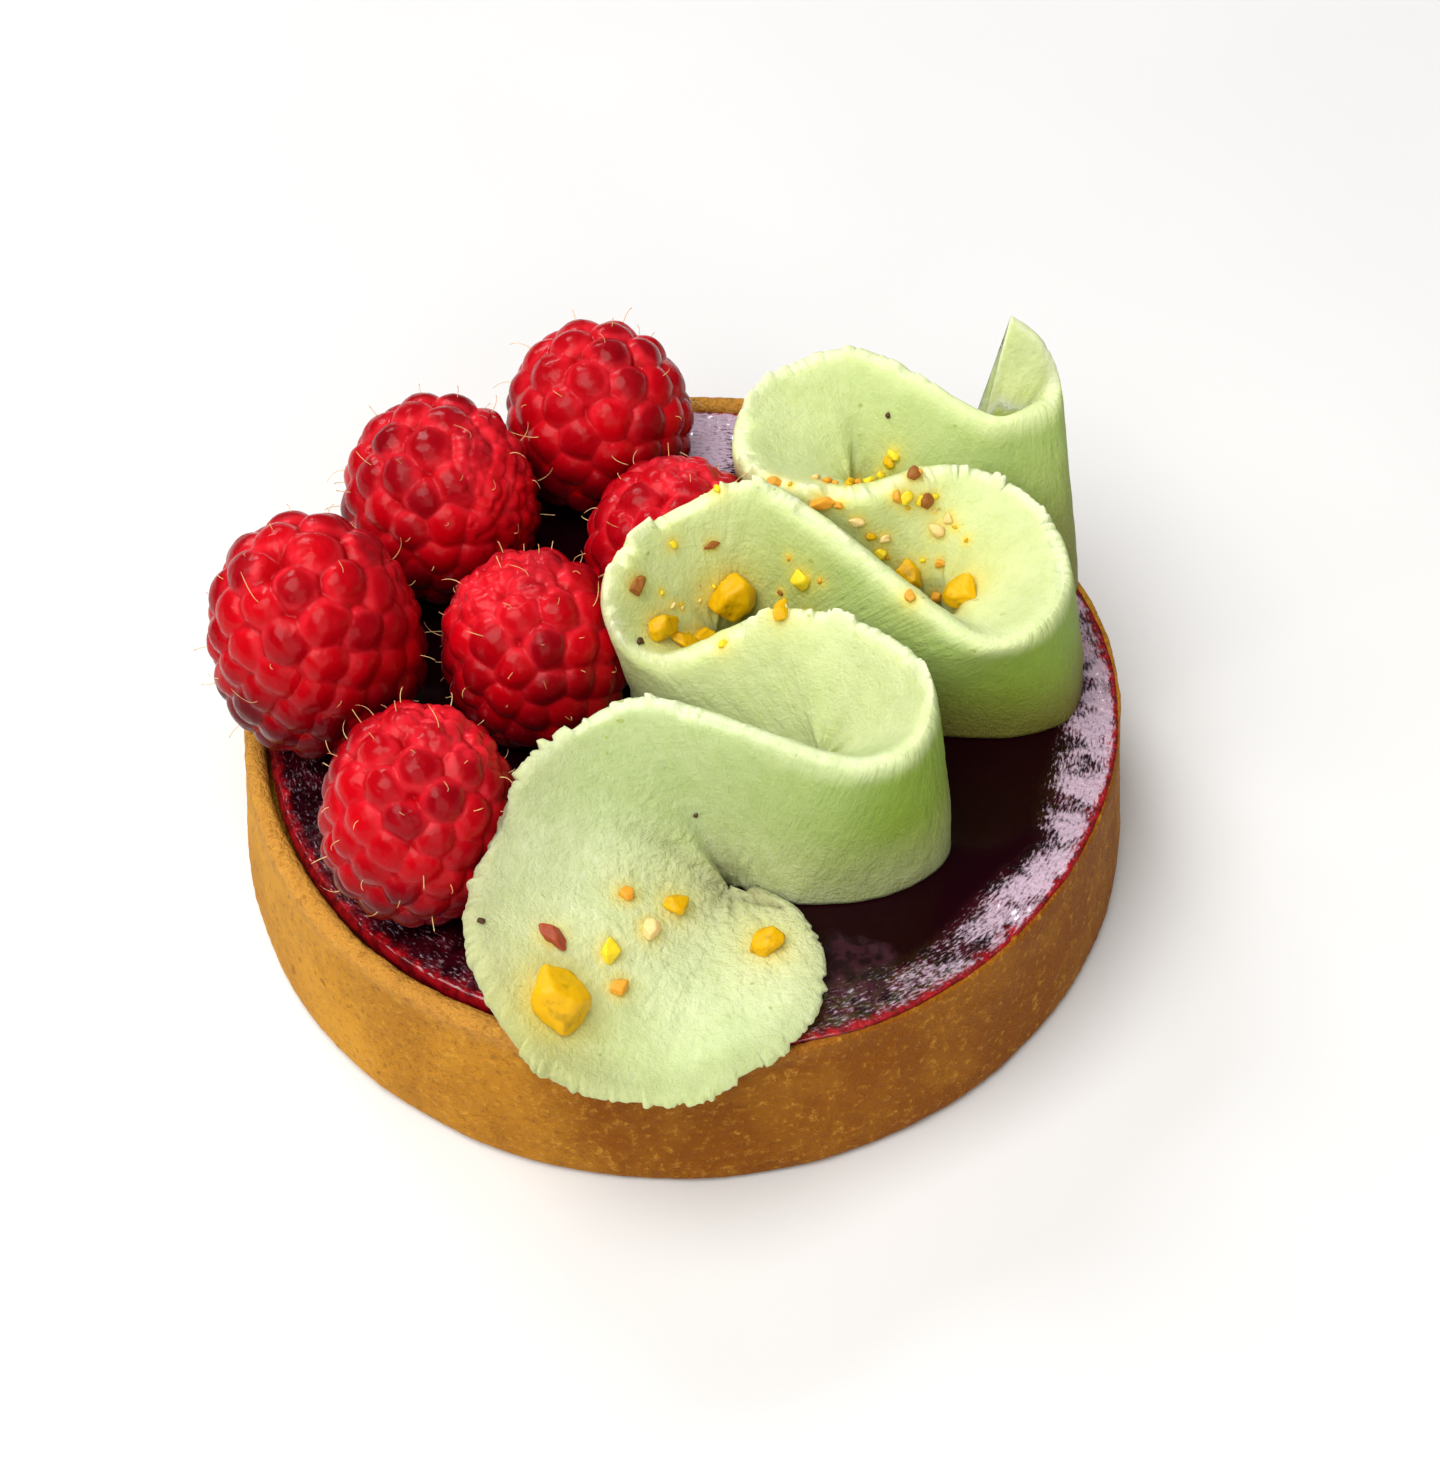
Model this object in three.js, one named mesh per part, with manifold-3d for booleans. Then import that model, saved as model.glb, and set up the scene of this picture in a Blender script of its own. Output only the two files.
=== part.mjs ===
// Pistachio raspberry tart: a round shortcrust case filled to the brim with dark raspberry jelly,
// six raspberries standing on the left and one piped ribbon of pale green cream winding along the
// right, sprinkled with roasted nut pieces.
// Millimetres, +Z up. The origin is the centre of the tart's underside and the front is -Y.

import * as THREE from "three";
import { ConvexHull } from "three/addons/math/ConvexHull.js";
import { mergeVertices } from "three/addons/utils/BufferGeometryUtils.js";
import Module from "manifold-3d";

// Case and jelly
const CASE_DIAMETER = 80;
const CASE_HEIGHT = 17;
const CASE_FLARE = 1;
const FOOT_ROUNDING = 1.2;
// The jelly is spread nearly to the outer edge at the front right, where the lip is narrow.
const LIP_WIDE = 2.1;
const LIP_NARROW = 0.55;
const LIP_NARROW_TOWARD = -25;
const WALL_WAVE = 0.35;
const JELLY_DEPTH = 3;
const JELLY_ROUNDING = 0.45;
const SEAM = 0.3;
const CASE_SIDES = 80;

// Everything that lies on the jelly stands this much above it
const REST_GAP = 0.12;
const REST_Z = CASE_HEIGHT + REST_GAP;

// Raspberries: place, largest radius, height, lean in degrees towards a compass angle, number of
// drupelets, and the depth of the valleys between them
const VALLEY_DEPTH = 1.25;
const BERRIES = [
  { x: -32.0, y: -0.2, radius: 9.8, height: 23.6, lean: 4, toward: 150, drupelets: 96 },
  { x: -21.6, y: 18.0, radius: 9.4, height: 19.4, lean: 7, toward: 110, drupelets: 86 },
  { x: -7.0, y: 29.0, radius: 9.1, height: 17.9, lean: 4, toward: 170, drupelets: 72 },
  { x: -12.6, y: 0.9, radius: 8.7, height: 17.0, lean: 8, toward: 170, drupelets: 84 },
  { x: 0.0, y: 12.9, radius: 8.6, height: 16.0, lean: 4, toward: 30, drupelets: 76 },
  { x: -22.5, y: -19.6, radius: 8.8, height: 20.2, lean: 9, toward: 60, drupelets: 88 },
];
const SHOULDER = 0.88;
const TIP_NARROWING = 0.08;
const WIDEST_AT = 0.42;
const CAP_POINTS = 4;
const SOLE_FLAT = 0.6;

// Cream ribbon: half turns from the raised tail at the back to the flat flap at the front. Each is
// half an ellipse with its middle at x, y, its reach to one side, its half depth, a slant, and how
// far its outermost part hangs back. "top" is the height of the edge at the back, side and front of
// the turn, "foot" is how far the wall's foot stands outside that edge, "leanX" and "leanY" move the
// foot, and "low" is the lowest point of the cup.
const TURNS = [
  { side: 1, x: 30.5, y: 21.7, reach: 5.1, half: 2.8, slant: 0.7, hang: 0, top: [41.3, 33.8, 33.1],
    foot: [0, 1.0, 1.6], leanX: [-8, 1.3, -0.2], leanY: -8.5, low: [29.4, 20.6, 25] },
  { side: -1, x: 16.4, y: 19.8, reach: 10.7, half: 9.8, slant: 0.2, hang: 0, top: [32.6, 31.1, 33.4],
    foot: [0.6, -1.2, 0.2], leanX: [0, 0, 0], leanY: 0, low: [16.6, 20.4, 23.8] },
  { side: 1, x: 26.3, y: 3.6, reach: 8.6, half: 10.4, slant: -1.0, hang: 0, top: [32.4, 31.8, 31.5],
    foot: [2.4, 2.0, 0.4], leanX: [0, 0, 0], leanY: 0, low: [24.3, 5.6, 25] },
  { side: -1, x: 2.7, y: 3.0, reach: 7.8, half: 6.9, slant: 4.5, hang: 0, top: [35.4, 34.4, 27.4],
    foot: [-3.2, -3.6, 0], leanX: [0, 0, 0], leanY: 0, low: [3.5, 3.4, 22.5] },
  { side: 1, x: 12.6, y: -12.4, reach: 8.8, half: 9.1, slant: -3.1, hang: 0, top: [32.8, 35.0, 33.5],
    foot: [0.6, 1.7, 2.0], leanX: [0, 0, 0], leanY: 0, low: [12.3, -12.8, 24] },
  { side: -1, x: -3.6, y: -29.8, reach: 14.6, half: 15.0, slant: -0.9, hang: -2.4, top: [35.0, 27.4, 18.8],
    foot: [-3, -6, -5.5], leanX: [0, 0, 0], leanY: 0, low: [4.0, -22.8, 19.2] },
];
const TURN_ANGLES = [90, 50, 15, -20, -55, -90];
const FLAP_END = [[4.4, -42.5], [9.9, -37.2], [11.6, -30.0], [9.4, -24.8], [5.6, -23.4]];
const FLAP_TOP = 18.7;
// Degrees of a turn to one unit of place along the ribbon; the rest of the unit is the straight
// pass to the next turn
const DEGREES_PER_PLACE = 225;
const EDGE_THICKNESS = 1.5;
const EDGE_OUTSIDE = 0.25;
const EDGE_ROUNDING = 0.4;
const STEP_LENGTH = 2.2;
// How far the cream keeps from a raspberry that it was piped against
const PRESS_GAP = 0.3;

// Roasted nut pieces lying on the cream, seen from above: place, length and width
const NUTS = [
  { x: -10.7, y: -37.5, long: 5.8, wide: 5.2 },
  { x: 7.1, y: -29.1, long: 3.0, wide: 2.6 },
  { x: -0.7, y: -26.3, long: 2.3, wide: 1.9 },
  { x: -6.3, y: -32.1, long: 2.3, wide: 1.4 },
  { x: -2.9, y: -29.1, long: 2.0, wide: 1.5 },
  { x: -5.7, y: -34.8, long: 1.8, wide: 1.4 },
  { x: -4.8, y: -26.6, long: 1.4, wide: 1.3 },
  { x: -11.0, y: -32.3, long: 2.1, wide: 1.6 },
  { x: 4.2, y: 4.9, long: 4.9, wide: 4.3 },
  { x: 0.0, y: 0.1, long: 5.2, wide: 2.4 },
  { x: -3.5, y: 1.0, long: 1.8, wide: 1.3 },
  { x: 11.3, y: 3.4, long: 1.8, wide: 1.6 },
  { x: 9.0, y: -3.6, long: 2.1, wide: 1.3 },
  { x: 9.1, y: 12.8, long: 1.8, wide: 1.3 },
  { x: 13.3, y: 9.8, long: 2.8, wide: 1.3 },
  { x: 16.4, y: 20.4, long: 1.3, wide: 1.2 },
  { x: 21.6, y: 12.3, long: 1.4, wide: 1.1 },
  { x: 22.7, y: 10.9, long: 1.4, wide: 1.2 },
  { x: 20.8, y: 10.5, long: 1.4, wide: 1.2 },
  { x: 23.8, y: 9.7, long: 1.6, wide: 1.1 },
  { x: 18.6, y: 8.5, long: 1.2, wide: 1.1 },
  { x: 21.3, y: 7.9, long: 3.1, wide: 2.4 },
  { x: 26.1, y: 4.2, long: 3.6, wide: 3.1 },
  { x: 23.6, y: 7.2, long: 1.3, wide: 1.1 },
];
const NUT_FLATNESS = 0.75;
const NUT_CORNERS = 11;
// Share of a nut piece's thickness that is pressed into the cream
const NUT_SUNK = 0.3;

const COLOURS = {
  crust: 0xc08a3e,
  jelly: 0x2a0712,
  berry: 0xb8102a,
  cream: 0xd8e8a4,
};

const wasm = await Module();
wasm.setup();

// A repeatable number from 0 to 1 for each pair of whole numbers.
function chance(index, stream) {
  const wave = Math.sin(index * 12.9898 + stream * 78.233) * 43758.5453;
  return wave - Math.floor(wave);
}

function smooth(value) {
  const t = THREE.MathUtils.clamp(value, 0, 1);
  return t * t * (3 - 2 * t);
}

function geometryFrom(points, triangles) {
  const geometry = new THREE.BufferGeometry();
  geometry.setAttribute("position", new THREE.Float32BufferAttribute(points.flat(), 3));
  geometry.setIndex(triangles.flat());
  return geometry;
}

// A closed body for joining and cutting; triangles that have shrunk to a line are dropped.
function solidFrom(geometry) {
  const merged = mergeVertices(geometry, 1e-3);
  const index = merged.index.array;
  const kept = [];
  for (let i = 0; i < index.length; i += 3) {
    const [a, b, c] = [index[i], index[i + 1], index[i + 2]];
    if (a !== b && b !== c && a !== c) kept.push(a, b, c);
  }
  const vertProperties = new Float32Array(merged.attributes.position.array);
  return new wasm.Manifold(
    new wasm.Mesh({ numProp: 3, vertProperties, triVerts: new Uint32Array(kept) }),
  );
}

function geometryOf(solid) {
  const mesh = solid.getMesh();
  const geometry = new THREE.BufferGeometry();
  geometry.setAttribute("position", new THREE.Float32BufferAttribute(mesh.vertProperties, 3));
  geometry.setIndex(Array.from(mesh.triVerts));
  return geometry;
}

function named(name, geometry, colour, roughness) {
  geometry.computeVertexNormals();
  const material = new THREE.MeshStandardMaterial({ color: colour, roughness, metalness: 0 });
  const mesh = new THREE.Mesh(geometry, material);
  mesh.name = name;
  return mesh;
}

// Rings of one point count, one after another, closed by a fan at each end.
function closedRings(rings) {
  const count = rings[0].length;
  const points = rings.flat();
  const triangles = [];
  for (let r = 0; r + 1 < rings.length; r += 1) {
    for (let i = 0; i < count; i += 1) {
      const next = (i + 1) % count;
      const [a, b] = [r * count + i, r * count + next];
      const [c, d] = [a + count, b + count];
      triangles.push([a, b, d], [a, d, c]);
    }
  }
  const fan = (ring, first, turned) => {
    const hub = points.length;
    points.push([0, 1, 2].map((axis) => ring.reduce((sum, point) => sum + point[axis], 0) / count));
    for (let i = 0; i < count; i += 1) {
      const pair = [first + i, first + ((i + 1) % count)];
      triangles.push(turned ? [hub, pair[1], pair[0]] : [hub, ...pair]);
    }
  };
  fan(rings[0], 0, true);
  fan(rings.at(-1), (rings.length - 1) * count, false);
  return geometryFrom(points, triangles);
}

// Width of the lip at an angle round the case.
function lipWidth(angle) {
  const turned = angle - THREE.MathUtils.degToRad(LIP_NARROW_TOWARD);
  return THREE.MathUtils.lerp(LIP_NARROW, LIP_WIDE, smooth(0.9 - 0.9 * Math.cos(turned)));
}

// Points of a profile drawn for each angle round the case, ring by ring from its first point on.
function turnedRings(profileAt) {
  const sides = Array.from({ length: CASE_SIDES }, (_, i) => (2 * Math.PI * i) / CASE_SIDES);
  const profiles = sides.map(profileAt);
  return profiles[0].map((_, row) => sides.map((angle, side) => {
    const [radius, z] = profiles[side][row];
    return [radius * Math.cos(angle), radius * Math.sin(angle), z];
  }));
}

// Hand-lined wall: the radius wanders a little round the case, most at the lip.
function wallWave(angle) {
  return WALL_WAVE * (0.6 * Math.sin(2 * angle + 2.6) + 0.4 * Math.sin(5 * angle + 1.1));
}

// The case cut at an angle: a rounded foot, a slightly flared wall, a soft lip, and the shallow
// recess that holds the jelly.
function caseProfile(angle) {
  const top = CASE_DIAMETER / 2;
  const foot = top + CASE_FLARE;
  const width = lipWidth(angle);
  const soft = width / 2;
  const profile = [
    [foot - FOOT_ROUNDING, 0],
    [foot - 0.25 * FOOT_ROUNDING, 0.3 * FOOT_ROUNDING],
    [foot, FOOT_ROUNDING],
  ];
  for (const share of [0.25, 0.5, 0.75, 1]) {
    const z = THREE.MathUtils.lerp(FOOT_ROUNDING, CASE_HEIGHT - soft, share);
    profile.push([THREE.MathUtils.lerp(foot, top, smooth(share)), z]);
  }
  for (const degrees of [45, 90, 135, 180]) {
    const turn = THREE.MathUtils.degToRad(degrees);
    profile.push([top - soft + soft * Math.cos(turn), CASE_HEIGHT - soft + soft * Math.sin(turn)]);
  }
  profile.push([top - width, CASE_HEIGHT - JELLY_DEPTH]);
  return profile.map(([radius, z]) => [radius + (wallWave(angle) * z) / CASE_HEIGHT, z]);
}

// The jelly cut at an angle: a layer level with the brim, with a softened edge.
function jellyProfile(angle) {
  const radius = CASE_DIAMETER / 2 - lipWidth(angle) - SEAM + wallWave(angle);
  return [
    [radius, CASE_HEIGHT - JELLY_DEPTH + SEAM],
    [radius, CASE_HEIGHT - JELLY_ROUNDING],
    [radius - JELLY_ROUNDING, CASE_HEIGHT],
  ];
}

// Directions spread evenly over a sphere along a spiral, each nudged a little.
function scatteredDirections(count, stream) {
  const golden = Math.PI * (3 - Math.sqrt(5));
  const nudge = 0.9 / Math.sqrt(count);
  const directions = [];
  for (let i = 0; i < count; i += 1) {
    const height = 1 - (2 * (i + 0.5)) / count;
    const reach = Math.sqrt(1 - height * height);
    const turn = i * golden;
    const direction = new THREE.Vector3(reach * Math.cos(turn), reach * Math.sin(turn), height);
    direction.x += nudge * (chance(i, stream) - 0.5);
    direction.y += nudge * (chance(i, stream + 1) - 0.5);
    direction.z += nudge * (chance(i, stream + 2) - 0.5);
    directions.push(direction.normalize());
  }
  return directions;
}

// Triangles of the hull round points on a unit sphere, as triples of positions.
function hullTriangles(points) {
  return new ConvexHull().setFromPoints(points).faces.map((face) => {
    const corners = [];
    let edge = face.edge;
    do {
      corners.push(edge.head().point);
      edge = edge.next;
    } while (edge !== face.edge);
    return corners;
  });
}

// Outer form of a raspberry in a direction: a blunt cone with round shoulders.
function berryForm(direction, berry) {
  const flat = Math.hypot(direction.x, direction.y);
  const widen = Math.pow(Math.max(flat, 1e-6), SHOULDER - 1);
  const narrow = 1 - TIP_NARROWING * Math.max(direction.z, 0);
  const half = direction.z > 0 ? (1 - WIDEST_AT) * berry.height : WIDEST_AT * berry.height;
  return new THREE.Vector3(
    direction.x * widen * narrow * berry.radius,
    direction.y * widen * narrow * berry.radius,
    Math.sign(direction.z) * Math.pow(Math.abs(direction.z), SHOULDER) * half,
  );
}

// Raspberry skin in a direction: the outer form, sunk between the drupelets.
function berrySurface(direction, berry, centres) {
  let nearest = Infinity;
  let second = Infinity;
  for (const centre of centres) {
    const distance = direction.distanceTo(centre);
    if (distance < nearest) {
      second = nearest;
      nearest = distance;
    } else if (distance < second) {
      second = distance;
    }
  }
  const fall = (2 * nearest) / (nearest + second);
  const sunk = VALLEY_DEPTH * (1 - Math.sqrt(Math.max(0, 1 - fall * fall)));
  return berryForm(direction, berry).addScaledVector(direction, -sunk);
}

// One raspberry about its own middle: cap points on each drupelet and a point where three meet.
function berryGeometry(berry, stream) {
  const centres = scatteredDirections(berry.drupelets, stream);
  const capReach = 0.9 / Math.sqrt(berry.drupelets);
  const samples = [];
  centres.forEach((centre, index) => {
    const across = new THREE.Vector3(-centre.y, centre.x, 0.01).normalize();
    const along = new THREE.Vector3().crossVectors(centre, across);
    for (let i = 0; i < CAP_POINTS; i += 1) {
      const turn = (2 * Math.PI * i) / CAP_POINTS + chance(index, stream + 3);
      const sample = centre.clone();
      sample.addScaledVector(across, capReach * Math.cos(turn));
      sample.addScaledVector(along, capReach * Math.sin(turn));
      samples.push(sample.normalize());
    }
  });
  for (const [a, b, c] of hullTriangles(centres)) {
    const meeting = new THREE.Vector3().crossVectors(b.clone().sub(a), c.clone().sub(a));
    samples.push(meeting.normalize());
  }
  const corners = hullTriangles(samples).flat();
  const geometry = new THREE.BufferGeometry().setFromPoints(
    corners.map((corner) => berrySurface(corner, berry, centres)),
  );
  return mergeVertices(geometry, 1e-4);
}

// How a raspberry leans.
function berryTurn(berry) {
  const toward = THREE.MathUtils.degToRad(berry.toward);
  const axis = new THREE.Vector3(-Math.sin(toward), Math.cos(toward), 0);
  return new THREE.Quaternion().setFromAxisAngle(axis, THREE.MathUtils.degToRad(berry.lean));
}

// Height of a raspberry's middle above its flattened foot.
function berrySole(berry) {
  return WIDEST_AT * berry.height - SOLE_FLAT;
}

function placeBerry(mesh, berry) {
  mesh.position.set(berry.x, berry.y, REST_Z + berrySole(berry));
  mesh.quaternion.copy(berryTurn(berry));
  return mesh;
}

// A raspberry leaning on its flattened foot, just above the jelly.
function raspberry(berry, index) {
  const geometry = berryGeometry(berry, 10 * index + 1);
  const turn = berryTurn(berry);
  const back = turn.clone().invert();
  const position = geometry.getAttribute("position");
  const point = new THREE.Vector3();
  for (let i = 0; i < position.count; i += 1) {
    point.fromBufferAttribute(position, i).applyQuaternion(turn);
    point.z = Math.max(point.z, -berrySole(berry));
    point.applyQuaternion(back);
    position.setXYZ(i, point.x, point.y, point.z);
  }
  return placeBerry(named(`raspberry_${index + 1}`, geometry, COLOURS.berry, 0.35), berry);
}

// The room that a raspberry takes out of the cream.
function berryRoom(berry) {
  const sphere = new THREE.IcosahedronGeometry(1, 3);
  const ball = mergeVertices(sphere.deleteAttribute("normal").deleteAttribute("uv"));
  const position = ball.getAttribute("position");
  const direction = new THREE.Vector3();
  for (let i = 0; i < position.count; i += 1) {
    direction.fromBufferAttribute(position, i).normalize();
    const point = berryForm(direction, berry).addScaledVector(direction, PRESS_GAP);
    position.setXYZ(i, point.x, point.y, point.z);
  }
  const mesh = placeBerry(new THREE.Mesh(ball), berry);
  mesh.updateMatrixWorld(true);
  return solidFrom(ball.applyMatrix4(mesh.matrixWorld));
}

// Value of a back, side, front triple at an angle round a turn.
function aroundTurn([back, side, front], sine) {
  return side + ((sine > 0 ? back : front) - side) * sine * sine;
}

// Key places along the ribbon: where its edge runs, how far out its foot is, and which cup it rounds.
function ribbonKeys() {
  const keys = [];
  TURNS.forEach((turn, index) => {
    for (const degrees of TURN_ANGLES) {
      const angle = THREE.MathUtils.degToRad(degrees);
      const sine = Math.sin(angle);
      keys.push({
        x: turn.x + turn.side * turn.reach * Math.cos(angle) + turn.slant * sine,
        y: turn.y + turn.half * sine + turn.hang * Math.cos(angle),
        z: aroundTurn(turn.top, sine),
        foot: aroundTurn(turn.foot, sine),
        leanX: aroundTurn(turn.leanX, sine),
        leanY: turn.leanY,
        place: THREE.MathUtils.clamp(index - degrees / DEGREES_PER_PLACE, 0, TURNS.length - 1),
      });
    }
  });
  const last = TURNS.length - 1;
  FLAP_END.forEach(([x, y], index) => {
    const foot = TURNS[last].foot[2] / (1 + 0.6 * index);
    keys.push({ x, y, z: FLAP_TOP, foot, leanX: 0, leanY: 0, place: last });
  });
  return keys;
}

// The smooth curve through four values at their knots, between the middle two: straight runs
// between neighbours, blended twice.
function throughFour(values, knots, t) {
  const blend = (p, q, first, last) =>
    THREE.MathUtils.lerp(p, q, (t - knots[first]) / (knots[last] - knots[first]));
  const runs = [0, 1, 2].map((i) => blend(values[i], values[i + 1], i, i + 1));
  const pairs = [0, 1].map((i) => blend(runs[i], runs[i + 1], i, i + 2));
  return blend(pairs[0], pairs[1], 1, 2);
}

// A smooth run through the keys, with knots spaced by the root of the distance between them so that
// it neither loops nor kinks where close keys meet a long pass.
function alongKeys(keys) {
  const fields = ["x", "y", "z", "foot", "leanX", "leanY", "place"];
  const mirrored = (end, next) =>
    Object.fromEntries(fields.map((field) => [field, 2 * end[field] - next[field]]));
  const ends = [mirrored(keys[0], keys[1]), ...keys, mirrored(keys.at(-1), keys.at(-2))];
  const spacing = (p, q) => Math.sqrt(Math.hypot(q.x - p.x, q.y - p.y, q.z - p.z));
  const run = [];
  for (let k = 1; k + 2 < ends.length; k += 1) {
    const four = ends.slice(k - 1, k + 3);
    const knots = [0];
    for (let i = 1; i < 4; i += 1) knots.push(knots[i - 1] + spacing(four[i - 1], four[i]));
    const steps = Math.ceil((knots[2] - knots[1]) ** 2 / STEP_LENGTH);
    for (let step = 0; step < steps; step += 1) {
      const t = THREE.MathUtils.lerp(knots[1], knots[2], step / steps);
      const place = {};
      for (const field of fields) {
        place[field] = throughFour(four.map((key) => key[field]), knots, t);
      }
      run.push(place);
    }
  }
  run.push({ ...keys.at(-1) });
  run.forEach((place, index) => {
    const [before, after] = [run[Math.max(index - 1, 0)], run[Math.min(index + 1, run.length - 1)]];
    const length = Math.hypot(after.x - before.x, after.y - before.y);
    place.left = [-(after.y - before.y) / length, (after.x - before.x) / length];
  });
  return run;
}

// One face of the ribbon at a place, from its edge down to its foot. "inner" goes from 0 on the
// outside of a turn, where the wall runs straight down, to 1 inside, where it runs to the cup's low.
function facePoints(place, outward, low, inner) {
  const half = THREE.MathUtils.lerp(EDGE_OUTSIDE, EDGE_THICKNESS - EDGE_OUTSIDE, inner);
  const [nx, ny] = [outward * place.left[0], outward * place.left[1]];
  const drop = place.z - EDGE_ROUNDING - REST_Z;
  const under = half + 0.1 + 0.9 * (place.foot - half);
  // Each row: how far out the wall is, its height, and its share of the way to the cup's low point,
  // across and down.
  const rows = [
    [half, REST_Z + drop, 0, 0],
    [half + 0.1, REST_Z + drop - Math.min(1.2, 0.35 * drop), 0.16, 0.12],
    [THREE.MathUtils.lerp(half + 0.3, under, 0.5), REST_Z + 0.5 * drop, 0.5, 0.42],
    [under, REST_Z + 0.2 * drop, 1, 1],
    [place.foot, REST_Z, 1, 1],
  ];
  return rows.map(([out, level, across, down], row) => {
    const leaning = (place.z - level) / (place.z - REST_Z);
    const wall = [
      place.x + nx * out + leaning * place.leanX,
      place.y + ny * out + leaning * place.leanY,
      level,
    ];
    const cup = [
      THREE.MathUtils.lerp(place.x + nx * half, low[0], across),
      THREE.MathUtils.lerp(place.y + ny * half, low[1], across),
      row === rows.length - 1 ? REST_Z : THREE.MathUtils.lerp(REST_Z + drop, low[2], down),
    ];
    return wall.map((value, axis) => THREE.MathUtils.lerp(value, cup[axis], inner));
  });
}

// How far a place is inside a turn's cup, from 0 to 1.
function insideTurn(place, turn) {
  return 1 - smooth((Math.abs(place - turn) - 0.3) / 0.55);
}

// The ribbon cut across at a place: down one face, and up the other to the rounded edge.
function ribbonSection(place) {
  const faces = [-1, 1].map((outward) => {
    // Turns to the right have their cup on the right-hand face, and the others on the left.
    const cups = TURNS.map((turn, index) => index).filter((index) => TURNS[index].side !== outward);
    const nearest = cups.reduce((best, index) =>
      Math.abs(place.place - index) < Math.abs(place.place - best) ? index : best);
    const inner = insideTurn(place.place, nearest);
    return facePoints(place, outward, TURNS[nearest].low, inner);
  });
  const crown = faces[0][0].map((value, axis) => (value + faces[1][0][axis]) / 2);
  crown[2] = place.z;
  return [...faces[1].reverse(), crown, ...faces[0]];
}

// The ribbon is closed pass by pass, from the middle of one turn to the middle of the next, and
// joined, because neighbouring passes press against each other at the foot.
function creamRibbon() {
  const run = alongKeys(ribbonKeys());
  const middles = TURNS.slice(1, -1).map((turn, index) => index + 1);
  const cuts = middles.map((middle) => run.findIndex((place) => place.place >= middle));
  const bounds = [0, ...cuts, run.length - 1];
  const passes = cuts.concat(run.length - 1).map((end, index) => {
    const sections = run.slice(bounds[index], end + 1).map(ribbonSection);
    return solidFrom(closedRings(sections));
  });
  const piped = passes.reduce((whole, pass) => whole.add(pass));
  const ribbon = BERRIES.reduce((whole, berry) => whole.subtract(berryRoom(berry)), piped);
  const bare = named("cream_ribbon", geometryOf(ribbon), COLOURS.cream, 0.6);
  const pieces = NUTS.map((nut, index) => nutPiece(nut, index, topAt(bare, nut.x, nut.y)));
  const sprinkled = pieces.reduce((whole, piece) => whole.add(piece), ribbon);
  return named("cream_ribbon", geometryOf(sprinkled), COLOURS.cream, 0.6);
}

// Where a vertical line at a place in plan first meets a mesh from above.
function topAt(mesh, x, y) {
  const down = new THREE.Raycaster(new THREE.Vector3(x, y, 100), new THREE.Vector3(0, 0, -1));
  const [hit] = down.intersectObject(mesh);
  return hit;
}

// A chipped piece of nut: the hull round a few corners scattered over a flat ball.
function nutPiece(nut, index, hit) {
  const corners = scatteredDirections(NUT_CORNERS, 100 + 10 * index);
  const thick = nut.wide * NUT_FLATNESS;
  const across = chance(index, 99) * Math.PI;
  const up = new THREE.Vector3(0, 0, 1);
  const turn = new THREE.Quaternion().setFromUnitVectors(up, hit.face.normal);
  turn.multiply(new THREE.Quaternion().setFromAxisAngle(up, across));
  const middle = hit.point.clone().addScaledVector(hit.face.normal, thick * (0.5 - NUT_SUNK));
  corners.forEach((corner) => {
    corner.multiply(new THREE.Vector3(nut.long / 2, nut.wide / 2, thick / 2));
    corner.applyQuaternion(turn).add(middle);
  });
  const geometry = new THREE.BufferGeometry().setFromPoints(hullTriangles(corners).flat());
  return solidFrom(mergeVertices(geometry, 1e-4));
}

const tart = new THREE.Group();
tart.add(named("crust", closedRings(turnedRings(caseProfile)), COLOURS.crust, 0.8));
tart.add(named("raspberry_jelly", closedRings(turnedRings(jellyProfile)), COLOURS.jelly, 0.12));
BERRIES.forEach((berry, index) => tart.add(raspberry(berry, index)));
tart.add(creamRibbon());

export default tart;
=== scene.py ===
"""Looks of a pistachio raspberry tart: pastry case, jelly, raspberries and a piped ribbon of cream.

Sizes in the classes are millimetres; every mesh is written in metres. +Z is up and the front is -Y.
"""

import logging
from dataclasses import dataclass, field
from enum import Enum
from itertools import product

import bmesh
import bpy
import numpy as np
from mathutils import Matrix, Vector
from mathutils.bvhtree import BVHTree


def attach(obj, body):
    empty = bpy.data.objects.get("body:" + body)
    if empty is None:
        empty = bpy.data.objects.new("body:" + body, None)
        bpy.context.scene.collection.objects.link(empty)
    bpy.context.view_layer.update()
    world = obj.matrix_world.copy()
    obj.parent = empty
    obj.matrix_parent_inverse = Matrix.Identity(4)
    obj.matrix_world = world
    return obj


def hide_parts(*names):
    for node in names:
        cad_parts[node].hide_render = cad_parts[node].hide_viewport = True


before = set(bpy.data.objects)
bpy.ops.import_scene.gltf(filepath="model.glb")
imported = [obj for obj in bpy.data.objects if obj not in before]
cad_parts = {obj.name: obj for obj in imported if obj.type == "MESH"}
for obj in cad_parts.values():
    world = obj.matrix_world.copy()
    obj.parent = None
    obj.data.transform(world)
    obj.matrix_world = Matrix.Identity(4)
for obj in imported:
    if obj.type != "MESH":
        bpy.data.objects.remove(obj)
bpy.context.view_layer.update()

logging.basicConfig(level=logging.INFO, format="%(message)s")
LOG = logging.getLogger("tart")

MILLIMETRE = 0.001
CASE_HEIGHT = 17.0
REST_Z = 17.12


# Numbers and noise


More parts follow.
